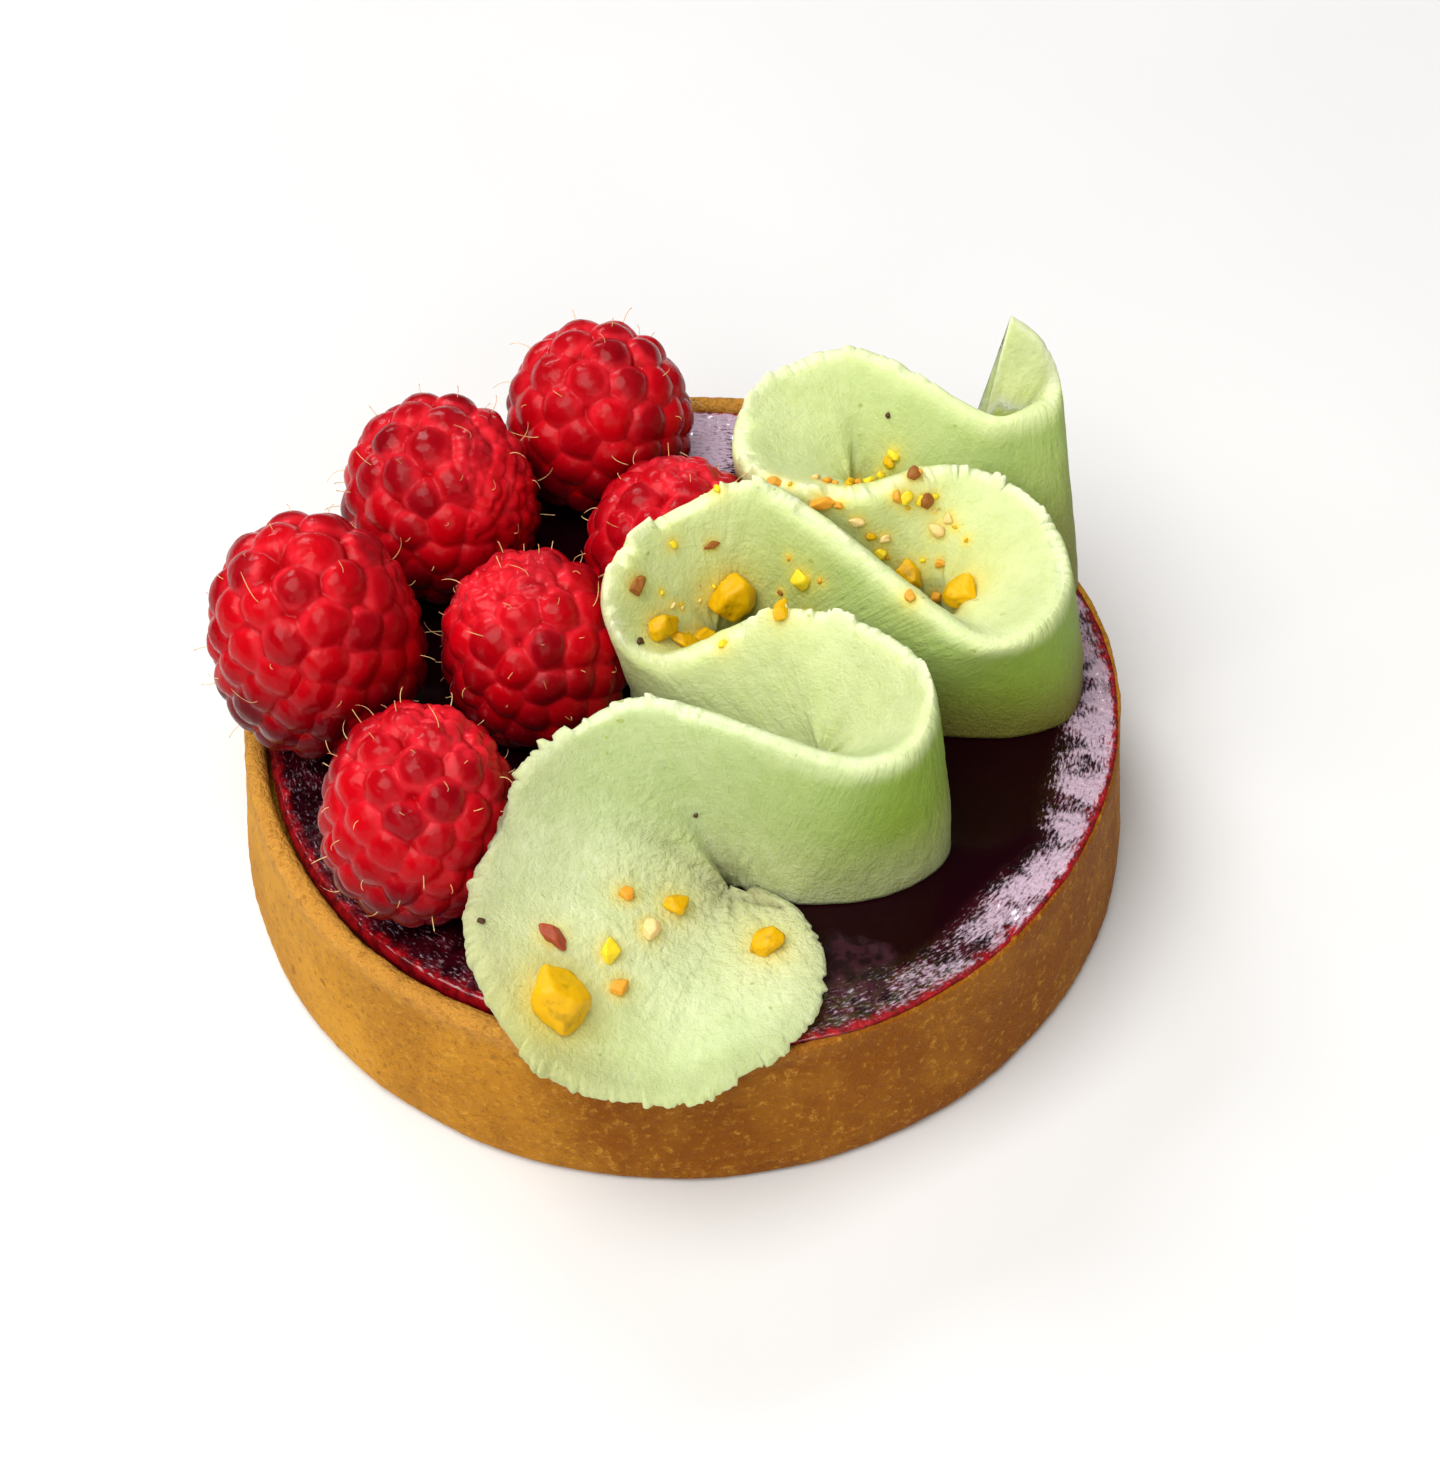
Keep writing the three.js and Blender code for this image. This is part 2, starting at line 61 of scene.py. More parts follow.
def chance(index: np.ndarray, stream: float) -> np.ndarray:
    """Gives a repeatable number from 0 to 1 for each index: the fraction of a steep sine wave.

    Args:
        index: Whole numbers.
        stream: Which of many independent rows of numbers to read.

    Returns:
        One number for each index.
    """
    wave = np.sin(np.asarray(index, float) * 12.9898 + stream * 78.233) * 43758.5453
    return wave - np.floor(wave)


def smooth(value: np.ndarray, low: float = 0.0, high: float = 1.0) -> np.ndarray:
    """Rises from 0 at low to 1 at high with no corner: 3t^2 - 2t^3.

    Args:
        value: What is looked at.
        low: Where the rise starts.
        high: Where it ends; it may lie below low, and then the result falls.

    Returns:
        Numbers from 0 to 1.
    """
    t = np.clip((value - low) / (high - low), 0.0, 1.0)
    return t * t * (3.0 - 2.0 * t)


def _hashed(cell: np.ndarray, seed: int) -> np.ndarray:
    """Scrambles lattice cells to numbers from 0 to 1.

    Args:
        cell: Whole coordinates, shape (n, 3).
        seed: Chooses another scramble.

    Returns:
        One number for each cell.
    """
    word = cell[:, 0] * 73856093 ^ cell[:, 1] * 19349663 ^ cell[:, 2] * 83492791
    word = (word ^ (seed * 2654435761)) & 0xFFFFFFFF
    word = ((word ^ (word >> 15)) * 2246822519) & 0xFFFFFFFF
    word = ((word ^ (word >> 13)) * 3266489917) & 0xFFFFFFFF
    return ((word ^ (word >> 16)) & 0xFFFFFF) / float(0xFFFFFF)


def noise(points: np.ndarray, seed: int = 0) -> np.ndarray:
    """Smooth noise from about -1 to 1: a slope at each lattice point, blended by 6t^5 - 15t^4 + 10t^3.

    Args:
        points: Places in lattice units, shape (n, 3).
        seed: Chooses another pattern.

    Returns:
        One value for each place.
    """
    cell = np.floor(points).astype(np.int64)
    part = points - cell
    blend = part * part * part * (part * (part * 6.0 - 15.0) + 10.0)
    total = np.zeros(len(points))
    for corner in product((0, 1), repeat=3):
        at = np.array(corner)
        weight = np.prod(np.where(at == 1, blend, 1.0 - blend), axis=1)
        away = part - at
        for axis in range(3):
            slope = 2.0 * _hashed(cell + at, seed * 3 + axis) - 1.0
            total += weight * slope * away[:, axis]
    return 1.6 * total


def layered(points: np.ndarray, size: float, layers: int, seed: int = 0) -> np.ndarray:
    """Adds noise at sizes that halve from layer to layer, each half as strong as the last.

    Args:
        points: Places in millimetres, shape (n, 3).
        size: Millimetres of the largest pattern.
        layers: How many sizes are added.
        seed: Chooses another pattern.

    Returns:
        One value for each place.
    """
    total = np.zeros(len(points))
    for layer in range(layers):
        total += noise(points * (2.0**layer / size), seed + 17 * layer) * 0.5**layer
    return total


def ridged(points: np.ndarray, size: float, seed: int = 0) -> np.ndarray:
    """Sharp crests with round hollows between them: 1 - |noise|, from 0 to 1.

    Args:
        points: Places in millimetres, shape (n, 3).
        size: Millimetres between crests, about.
        seed: Chooses another pattern.

    Returns:
        One value for each place.
    """
    return 1.0 - np.abs(noise(points / size, seed)).clip(0.0, 1.0)


# Meshes


@dataclass
class Surface:
    """Points, faces and values of one piece while it is worked out, in millimetres."""

    points: np.ndarray
    quads: np.ndarray
    triangles: np.ndarray = field(default_factory=lambda: np.zeros((0, 3), int))
    values: dict[str, np.ndarray] = field(default_factory=dict)
    uv: np.ndarray | None = None

    def piece(self, name: str, material: bpy.types.Material) -> bpy.types.Object:
        """Writes the surface into a smooth-shaded mesh object at the origin.

        Args:
            name: The piece's name.
            material: Its finish.

        Returns:
            The new object.
        """
        mesh = bpy.data.meshes.new(name)
        corners = np.concatenate([self.quads.reshape(-1), self.triangles.reshape(-1)]).astype(np.int32)
        sizes = np.repeat([4, 3], [len(self.quads), len(self.triangles)])
        starts = np.concatenate([[0], np.cumsum(sizes)[:-1]]).astype(np.int32)
        mesh.vertices.add(len(self.points))
        mesh.vertices.foreach_set("co", (self.points * MILLIMETRE).astype(np.float32).reshape(-1))
        mesh.loops.add(len(corners))
        mesh.loops.foreach_set("vertex_index", corners)
        mesh.polygons.add(len(sizes))
        mesh.polygons.foreach_set("loop_start", starts)
        mesh.polygons.foreach_set("use_smooth", np.ones(len(sizes), bool))
        if self.uv is not None:
            layer = mesh.uv_layers.new(name="along")
            layer.data.foreach_set("uv", self.uv[corners].astype(np.float32).reshape(-1))
        mesh.update(calc_edges=True)
        mesh.validate()
        for key, value in self.values.items():
            attribute = mesh.attributes.new(key, "FLOAT", "POINT")
            attribute.data.foreach_set("value", np.asarray(value, np.float32))
        mesh.materials.append(material)
        thing = bpy.data.objects.new(name, mesh)
        bpy.context.scene.collection.objects.link(thing)
        return thing


def wrapped_quads(rings: int, count: int) -> np.ndarray:
    """Faces between neighbouring closed rings of points.

    Args:
        rings: How many rings there are.
        count: Points in each ring.

    Returns:
        Point numbers, shape (faces, 4).
    """
    ring, spoke = np.meshgrid(np.arange(rings - 1), np.arange(count), indexing="ij")
    here = ring * count + spoke
    beside = ring * count + (spoke + 1) % count
    return np.stack([here, beside, beside + count, here + count], axis=-1).reshape(-1, 4)


def closed_rings(rings: np.ndarray) -> Surface:
    """Joins rings of points into a closed body, with a fan over the first and the last ring.

    Args:
        rings: Points, shape (rings, count, 3), wound so that the faces point outwards.

    Returns:
        The surface; its last two points are the middles of the fans.
    """
    total, count, _ = rings.shape
    points = np.concatenate([rings.reshape(-1, 3), rings[:1].mean(1), rings[-1:].mean(1)])
    spoke = np.arange(count)
    after = (spoke + 1) % count
    first = np.stack([np.full(count, total * count), after, spoke], axis=1)
    base = (total - 1) * count
    last = np.stack([np.full(count, total * count + 1), base + spoke, base + after], axis=1)
    return Surface(points, wrapped_quads(total, count), np.concatenate([first, last]))


def unit(vectors: np.ndarray) -> np.ndarray:
    """Scales vectors to length 1."""
    return vectors / np.maximum(np.linalg.norm(vectors, axis=-1, keepdims=True), 1e-12)


def sphere_directions(levels: int) -> tuple[np.ndarray, np.ndarray]:
    """Directions evenly over a sphere, from an icosahedron whose faces are split again and again.

    Args:
        levels: 1 for the icosahedron itself; each further level splits every face in four.

    Returns:
        Directions, shape (n, 3), and triangles of their numbers, shape (m, 3).
    """
    shape = bmesh.new()
    bmesh.ops.create_icosphere(shape, subdivisions=levels, radius=1.0)
    mesh = bpy.data.meshes.new("directions")
    shape.to_mesh(mesh)
    shape.free()
    points = np.zeros(len(mesh.vertices) * 3)
    mesh.vertices.foreach_get("co", points)
    triangles = np.zeros(len(mesh.polygons) * 3, np.int32)
    mesh.polygons.foreach_get("vertices", triangles)
    bpy.data.meshes.remove(mesh)
    return unit(points.reshape(-1, 3)), triangles.reshape(-1, 3)


def turned(points: np.ndarray, matrix: np.ndarray) -> np.ndarray:
    """Turns points by a 3 by 3 matrix."""
    return points @ matrix.T


# Shader building


class Socket:
    """A number or colour inside a material's node tree that takes part in Python expressions."""

    def __init__(self, shader: "Shader", link: bpy.types.NodeSocket) -> None:
        """Keeps the material and the socket."""
        self.shader = shader
        self.link = link

    def _math(self, kind: str, *terms: "Socket | float") -> "Socket":
        """Adds a Math node of one kind on some terms."""
        return self.shader.node("ShaderNodeMath", {"operation": kind}, dict(enumerate(terms)))

    def __add__(self, other: "Socket | float") -> "Socket":
        """Sum."""
        return self._math("ADD", self, other)

    __radd__ = __add__

    def __mul__(self, other: "Socket | float") -> "Socket":
        """Product."""
        return self._math("MULTIPLY", self, other)

    __rmul__ = __mul__

    def __sub__(self, other: "Socket | float") -> "Socket":
        """Difference."""
        return self._math("SUBTRACT", self, other)

    def __rsub__(self, other: float) -> "Socket":
        """Difference from a plain number."""
        return self._math("SUBTRACT", other, self)

    def __pow__(self, other: float) -> "Socket":
        """Power."""
        return self._math("POWER", self, other)

    def ramp(self, low: float, high: float) -> "Socket":
        """Rises from 0 to 1 between two values, softly.

        Args:
            low: Where the rise starts.
            high: Where it ends.

        Returns:
            The new value.
        """
        return self.shader.node(
            "ShaderNodeMapRange",
            {"interpolation_type": "SMOOTHSTEP"},
            {"Value": self, "From Min": low, "From Max": high, "To Min": 0.0, "To Max": 1.0},
        )


Colour = tuple[float, float, float]
Triple = tuple[float, float, float]


def from_screen(red: int, green: int, blue: int) -> Colour:
    """Turns a screen colour from 0 to 255 into linear light.

    That is ((c + 0.055) / 1.055) ^ 2.4, above a short straight part.
    """
    parts = np.array([red, green, blue]) / 255.0
    light = np.where(parts <= 0.04045, parts / 12.92, ((parts + 0.055) / 1.055) ** 2.4)
    return tuple(float(part) for part in light)


class Shader:
    """One material under construction."""

    def __init__(self, name: str) -> None:
        """Starts an empty node tree with a Principled shader."""
        self.material = bpy.data.materials.new(name)
        self.material.use_nodes = True
        self.tree = self.material.node_tree
        self.tree.nodes.clear()
        output = self.tree.nodes.new("ShaderNodeOutputMaterial")
        self.surface = self.tree.nodes.new("ShaderNodeBsdfPrincipled")
        self.tree.links.new(self.surface.outputs["BSDF"], output.inputs["Surface"])

    def node(self, kind: str, settings: dict, inputs: dict, output: int | str = 0) -> Socket:
        """Adds a node, sets it up and wires it.

        Args:
            kind: The node's type.
            settings: Properties that are set first.
            inputs: Values or sockets by input name or number.
            output: Which output is wanted.

        Returns:
            The wanted output.
        """
        made = self.tree.nodes.new(kind)
        for key, value in settings.items():
            setattr(made, key, value)
        for key, value in inputs.items():
            self.feed(made.inputs[key], value)
        return Socket(self, made.outputs[output])

    def feed(self, target: bpy.types.NodeSocket, value: "Socket | float | Colour") -> None:
        """Links a socket to an input, or sets the input's plain value."""
        if isinstance(value, Socket):
            self.tree.links.new(value.link, target)
        elif isinstance(value, tuple) and target.type == "RGBA" and len(value) == 3:
            target.default_value = (*value, 1.0)
        else:
            target.default_value = value

    def place(self) -> Socket:
        """Object coordinates, in metres."""
        return self.node("ShaderNodeTexCoord", {}, {}, "Object")

    def value(self, name: str) -> Socket:
        """One of the piece's own attributes."""
        return self.node("ShaderNodeAttribute", {"attribute_name": name}, {}, "Fac")

    def grain(self, size: float, detail: float = 2.0, rough: float = 0.5) -> Socket:
        """Noise texture on the object's own coordinates.

        Args:
            size: Millimetres of its largest blobs.
            detail: Layers of finer noise.
            rough: Strength of the finer layers.

        Returns:
            Values around 0.5.
        """
        scale = 1.0 / (size * MILLIMETRE)
        inputs = {"Vector": self.place(), "Scale": scale, "Detail": detail, "Roughness": rough}
        return self.node("ShaderNodeTexNoise", {}, inputs, "Fac")

    def streaks(self, rough: float) -> Socket:
        """Noise texture on the piece's own map "along", whose units set the size of the streaks."""
        along = self.node("ShaderNodeUVMap", {"uv_map": "along"}, {})
        inputs = {"Vector": along, "Scale": 1.0, "Detail": 3.0, "Roughness": rough}
        return self.node("ShaderNodeTexNoise", {}, inputs, "Fac")

    def blend(
        self, share: "Socket | float", first: "Socket | Colour", second: "Socket | Colour"
    ) -> Socket:
        """Mixes two colours.

        Args:
            share: 0 for the first, 1 for the second.
            first: A colour.
            second: A colour.

        Returns:
            The mixed colour.
        """
        return self.node("ShaderNodeMix", {"data_type": "RGBA"}, {0: share, 6: first, 7: second}, 2)

    def bump(self, height: Socket, depth: float, under: "Socket | None" = None) -> Socket:
        """Fine relief.

        Args:
            height: Pattern from 0 to 1.
            depth: Millimetres from 0 to 1.
            under: Relief that this one is added to.

        Returns:
            A normal.
        """
        inputs = {"Height": height, "Distance": depth * MILLIMETRE, "Strength": 1.0}
        if under is not None:
            inputs["Normal"] = under
        return self.node("ShaderNodeBump", {}, inputs)

    def dress(self, **inputs: "Socket | float | Colour") -> bpy.types.Material:
        """Feeds the Principled shader; an input's name is written with underscores.

        Returns:
            The finished material.
        """
        for key, value in inputs.items():
            self.feed(self.surface.inputs[key.replace("_", " ")], value)
        return self.material


# Finishes


@dataclass(frozen=True)
class Shortcrust:
    """Baked golden shortcrust: fine sandy grain, paler lip, a few dark and bright specks, and browner
    towards the front right, partly by real browning and partly as painted shade.
    """

    golden: Colour = from_screen(226, 160, 44)
    # Brown of the real browning and of the painted shade.
    brown: Colour = from_screen(144, 80, 4)
    pale: Colour = from_screen(206, 146, 64)
    grain: Colour = from_screen(244, 182, 72)
    speck: Colour = from_screen(136, 80, 18)

    def material(self) -> bpy.types.Material:
        """Builds the material."""
        s = Shader("shortcrust")
        clouds = s.grain(9.0, 4.0).ramp(0.36, 0.66)
        sand = s.grain(0.9, 4.0, rough=0.75)
        # Real browning mixed with painted shade: browner towards the front right, and a little darker
        # towards the back left.
        body = s.blend(clouds * 0.3 + s.value("baked") * 0.85, self.golden, self.brown)
        body = s.blend(s.value("lip") * 0.8, body, self.pale)
        body = s.blend(sand.ramp(0.52, 0.7) * 0.4, body, self.grain)
        body = s.blend(sand.ramp(0.47, 0.3) * 0.6, body, self.speck)
        dots = s.grain(1.2, 0.0).ramp(0.76, 0.84)
        body = s.blend(dots * 0.5, body, self.speck)
        relief = s.bump(sand, 0.75)
        relief = s.bump(s.grain(0.3, 2.0), 0.16, relief)
        return s.dress(
            Base_Color=body,
            Roughness=0.55 + sand * 0.2,
            Normal=relief,
            Subsurface_Weight=0.1,
            Subsurface_Radius=(1.0, 0.5, 0.2),
            Subsurface_Scale=0.001,
            Specular_IOR_Level=0.12,
        )


@dataclass(frozen=True)
class DarkJelly:
    """Near-black raspberry jelly: glossy, wrinkled towards the rim, red where it thins out, with a
    painted pale reflection of a sheet of light on its wrinkles.
    """

    deep: Colour = from_screen(24, 1, 6)
    plum: Colour = from_screen(88, 8, 24)
    edge: Colour = from_screen(176, 14, 26)
    # Pale lavender of the painted reflection.
    frost: Colour = from_screen(222, 194, 216)
    flake: Colour = from_screen(60, 26, 38)

    def material(self) -> bpy.types.Material:
        """Builds the material."""
        s = Shader("jelly")
        wrinkle = s.value("wrinkle")
        mottle = s.grain(2.2, 3.0).ramp(0.35, 0.7)
        body = s.blend(wrinkle * 0.8 * mottle, self.deep, self.plum)
        dull = s.grain(1.1, 3.0, rough=0.6).ramp(0.42, 0.58)
        body = s.blend(s.value("patch") * dull * 0.6, body, self.flake)
        rag = s.grain(0.9, 3.0).ramp(0.35, 0.62)
        body = s.blend(s.value("edge") * (0.3 + rag * 0.6), body, self.edge)
        # Painted reflection: a streaky pale sheet of light, as colour, on the wrinkled band and at the
        # far side.
        frost = s.value("frost")
        frost = (s.streaks(0.65) + frost * 0.42).ramp(0.64, 0.92) * frost.ramp(0.02, 0.2)
        body = s.blend(frost * 0.76, body, self.frost)
        relief = s.bump(s.grain(0.6, 3.0, rough=0.6) * (wrinkle + s.value("edge") * 0.6), 0.3)
        relief = s.bump(s.grain(9.0, 1.0), 0.12, relief)
        return s.dress(
            Base_Color=body,
            Roughness=0.13 + s.value("patch") * 0.45 + frost * 0.2,
            Normal=relief,
            Specular_IOR_Level=0.12,
            Subsurface_Weight=0.1,
            Subsurface_Radius=(1.0, 0.1, 0.1),
            Subsurface_Scale=0.001,
            Coat_Weight=wrinkle,
            Coat_Roughness=0.12,
            Coat_IOR=1.75,
        )


@dataclass(frozen=True)
class RaspberrySkin:
    """Ripe raspberry: translucent beads, a darker pure red painted as shade between them, painted shade
    on the lower side, and a pale bloom on top with a painted sheen and a painted rim light round each
    drupelet.
    """

    bead: Colour = from_screen(186, 0, 13)
    # Painted shade: a darker red in the gaps between the drupelets.
    valley: Colour = from_screen(166, 0, 8)
    # Pale bloom, partly a painted sheen on top, and a painted rim light round each drupelet.
    bloom: Colour = from_screen(230, 44, 58)
    # Deep red for riper drupelets, and for painted shade on the lower side.
    shade: Colour = from_screen(92, 0, 9)

    def material(self) -> bpy.types.Material:
        """Builds the material."""
        s = Shader("raspberry")
        valley = s.value("valley")
        blotch = s.grain(1.8, 2.0).ramp(0.35, 0.7)
        # Darker red at random by ripeness, and painted shade on the lower side and at the middle of each
        # drupelet.
        body = s.blend(s.value("tint"), self.bead, self.shade)
        # Painted shade in the gaps between the drupelets.
        body = s.blend(valley.ramp(0.1, 0.8) * 0.8, body, self.valley)
        # Bloom with a painted sheen on top, and a painted pale rim light round each drupelet.
        body = s.blend(s.value("bloom") * (0.3 + blotch * 0.45), body, self.bloom)
        relief = s.bump(s.grain(0.45, 2.0), 0.04)
        relief = s.bump(s.grain(1.3, 1.0), 0.1, relief)
        return s.dress(
            Base_Color=body,
            Roughness=0.16 + blotch * 0.12,
            Normal=relief,
            Subsurface_Weight=0.45,
            Subsurface_Radius=(1.0, 0.1, 0.1),
            Subsurface_Scale=0.0016,
            Specular_IOR_Level=0.12,
        )


@dataclass(frozen=True)
class BerryHair:
    """Dry golden hairs of a raspberry."""

    straw: Colour = from_screen(232, 190, 128)
    tip: Colour = from_screen(206, 120, 80)

    def material(self) -> bpy.types.Material:
        """Builds the material."""
        s = Shader("berry_hair")
        body = s.blend(s.value("along").ramp(0.75, 1.0), self.straw, self.tip)
        return s.dress(Base_Color=body, Roughness=0.5, Subsurface_Weight=0.2, Subsurface_Scale=0.0003)


@dataclass(frozen=True)
class PistachioCream:
    """Whipped pistachio cream: pale green, matte, finely pored, stained yellow round the nuts, with
    painted shade in deeper green and olive grey and a painted pale highlight along the edges.
    """

    pale: Colour = from_screen(214, 225, 178)
    warm: Colour = from_screen(208, 220, 132)
    # Pale colour of the painted highlight along the edges.
    rim: Colour = from_screen(240, 247, 214)
    # Green of the random tone and of the painted shade under the lips.
    green: Colour = from_screen(120, 152, 4)
    # Olive grey of the painted shade.
    painted_shade_olive: Colour = from_screen(114, 100, 34)
    stain: Colour = from_screen(236, 210, 60)
    speck: Colour = from_screen(150, 160, 50)

    def material(self) -> bpy.types.Material:
        """Builds the material."""
        s = Shader("pistachio_cream")
        clouds = s.grain(6.0, 2.0).ramp(0.35, 0.7)
        mottle = s.grain(1.4, 2.0).ramp(0.3, 0.75)
        body = s.blend(clouds * 0.16 + mottle * 0.14, self.pale, self.green)
        body = s.blend(s.value("warm"), body, self.warm)
        # Painted shade: a deeper green under the lips of the outer walls, on the front of the flap and
        # high on the last turn's front wall.
        body = s.blend(s.value("under_lip") * 0.9, body, self.green)
        # Painted shade as an olive grey: low on the walls, round the fold, along the crease and in the
        # cups.
        body = s.blend(s.value("low") * 0.92, body, self.painted_shade_olive)
        # Painted highlight: a pale line along the sharp edges of the cream, and a paler flap.
        body = s.blend(s.value("rim") * 0.4, body, self.rim)
        body = s.blend(s.value("stain"), body, self.stain)
        dots = s.grain(0.8, 0.0).ramp(0.83, 0.88)
        body = s.blend(dots * 0.6, body, self.speck)
        pores = s.grain(0.42, 3.0, rough=0.7)
        relief = s.bump(s.streaks(0.5) * s.value("brushed"), 0.3)
        leather = s.grain(0.8, 2.0, rough=0.5) * (s.value("leather") * 0.85 + 0.15)
        relief = s.bump(leather, 0.6, relief)
        relief = s.bump(pores * (s.value("low") * 0.7 + 0.3), 0.5, relief)
        return s.dress(
            Base_Color=body,
            Roughness=0.5 + pores * 0.15,
            Normal=relief,
            Subsurface_Weight=0.45,
            Subsurface_Radius=(1.0, 1.0, 0.45),
            Subsurface_Scale=0.002,
            Specular_IOR_Level=0.2,
        )


class NutKind(Enum):
    """The sorts of nut piece on the cream, with the screen colour of each."""

    AMBER = (220, 170, 0)
    YELLOW = (238, 206, 40)
    ORANGE = (226, 158, 50)
    BEIGE = (238, 204, 140)
    BROWN = (150, 92, 36)
    RED = (158, 72, 44)
    DARK = (74, 50, 28)


@dataclass(frozen=True)
class RoastedNut:
    """Roasted nut: waxy and translucent, with darker skin in places."""

    kind: NutKind
    skin_share: float = 0.45

    def material(self) -> bpy.types.Material:
        """Builds the material."""
        s = Shader(f"nut_{self.kind.name.lower()}")
        body = from_screen(*self.kind.value)
        dark = tuple(part * self.skin_share for part in body)
        skin = s.grain(1.3, 3.0).ramp(0.58, 0.72)
        colour = s.blend(skin * 0.5, body, dark)
        relief = s.bump(s.grain(0.5, 2.0), 0.07)
        return s.dress(
            Base_Color=colour,
            Roughness=0.45,
            Normal=relief,
            Subsurface_Weight=0.4,
            Subsurface_Radius=(1.0, 0.5, 0.1),
            Subsurface_Scale=0.0012,
            Specular_IOR_Level=0.25,
        )


# Pastry case and jelly


@dataclass
class PastryCase:
    """The hand-lined shortcrust case with its brim."""

    diameter: float = 80.0
    flare: float = 1.0
    foot_rounding: float = 1.2
    lip_wide: float = 2.1
    lip_narrow: float = 0.55
    lip_narrow_toward: float = -25.0
    wall_wave: float = 0.35
    jelly_depth: float = 3.0
    # Angle that the browning and the painted shade face.
    browning_and_shade_toward: float = -60.0
    sides: int = 760
    base_rows: int = 12
    foot_rows: int = 7
    wall_rows: int = 40
    lip_rows: int = 13
    lump_size: float = 10.0
    lump_height: float = 0.17
    knob_size: float = 2.4
    knob_height: float = 0.05
    grain_size: float = 0.8
    grain_height: float = 0.06

    def lip_width(self, angle: np.ndarray) -> np.ndarray:
        """Width of the lip round the case: wide at the back left, narrow at the front right."""
        turned_by = angle - np.radians(self.lip_narrow_toward)
        share = smooth(0.9 - 0.9 * np.cos(turned_by))
        return self.lip_narrow + (self.lip_wide - self.lip_narrow) * share

    def wave(self, angle: np.ndarray) -> np.ndarray:
        """How far the hand-lined wall stands out at the brim: two slow waves round the case."""
        return self.wall_wave * (0.6 * np.sin(2 * angle + 2.6) + 0.4 * np.sin(5 * angle + 1.1))

    def profiles(self, angle: np.ndarray) -> tuple[np.ndarray, np.ndarray]:
        """Radius and height of the outline at each angle, from the underside round to the recess floor.

        Args:
            angle: Angles round the case.

        Returns:
            Radii and heights, each of shape (rows, angles).
        """
        ones = np.ones_like(angle)
        top, foot = self.diameter / 2, self.diameter / 2 + self.flare
        width = self.lip_width(angle)
        soft = width / 2
        bend = self.foot_rounding
        radii, heights = [], []
        for share in np.linspace(0.15, 1.0, self.base_rows):
            radii.append(ones * (foot - bend) * share)
            heights.append(ones * 0.0)
        for turn in np.linspace(-np.pi / 2, 0, self.foot_rows)[1:-1]:
            radii.append(ones * (foot - bend + bend * np.cos(turn)))
            heights.append(ones * (bend + bend * np.sin(turn)))
        for share in np.linspace(0, 1, self.wall_rows)[:-1]:
            radii.append(ones * (foot + (top - foot) * smooth(share)))
            heights.append(bend + (CASE_HEIGHT - soft - bend) * share)
        for turn in np.linspace(0, np.pi, self.lip_rows):
            radii.append(top - soft + soft * np.cos(turn))
            heights.append(CASE_HEIGHT - soft + soft * np.sin(turn))
        for share in (0.4, 1.0):
            radii.append(top - width)
            heights.append(CASE_HEIGHT - soft - (self.jelly_depth - soft) * share)
        for share in (0.7, 0.3):
            radii.append((top - width) * share)
            heights.append(ones * (CASE_HEIGHT - self.jelly_depth))
        heights = np.array(heights)
        return np.array(radii) + self.wave(angle) * heights / CASE_HEIGHT, heights

    def surface(self) -> Surface:
        """The case with its sandy, slightly lumpy skin: each point moves along the outline's normal."""
        angle = np.arange(self.sides) * 2 * np.pi / self.sides
        radii, heights = self.profiles(angle)
        out_r, out_z = np.gradient(heights, axis=0), -np.gradient(radii, axis=0)
        length = np.maximum(np.hypot(out_r, out_z), 1e-9)
        points = np.stack([radii * np.cos(angle), radii * np.sin(angle), heights], axis=-1).reshape(-1, 3)
        lumps = self.lump_height * layered(points, self.lump_size, 2, 5)
        knobs = self.knob_height * layered(points, self.knob_size, 2, 6)
        grain = self.grain_height * layered(points, self.grain_size, 2, 7)
        skin = (lumps + knobs + grain).reshape(radii.shape)
        skin = skin * smooth(heights, 0.0, 1.2) * smooth(radii, 30.0, 36.0)
        radii = radii + skin * out_r / length
        heights = heights + skin * out_z / length
        rings = np.stack([radii * np.cos(angle), radii * np.sin(angle), heights], axis=-1)
        made = closed_rings(rings)
        high = smooth(heights, CASE_HEIGHT - 2.6, CASE_HEIGHT - 0.3)
        # Real browning and painted shade: browner towards the front right, with a weaker painted shade
        # towards the back left.
        facing = np.cos(angle - np.radians(self.browning_and_shade_toward)) + 0.25 * noise(rings[8] / 16.0, 9)
        baked = np.maximum(smooth(facing, 0.1, 0.95), 0.3 * smooth(-facing, 0.3, 0.9))
        made.values = {
            "lip": np.append(high * smooth(self.lip_width(angle), 0.6, 1.6), [0.0, 0.0]),
            "baked": np.append(baked * np.ones_like(heights), [0.0, 0.0]),
        }
        return made

    def build(self) -> bpy.types.Object:
        """Makes the case in place of its plain solid."""
        case = self.surface().piece("pastry_case", Shortcrust().material())
        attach(case, "root")
        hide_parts("crust")
        return case


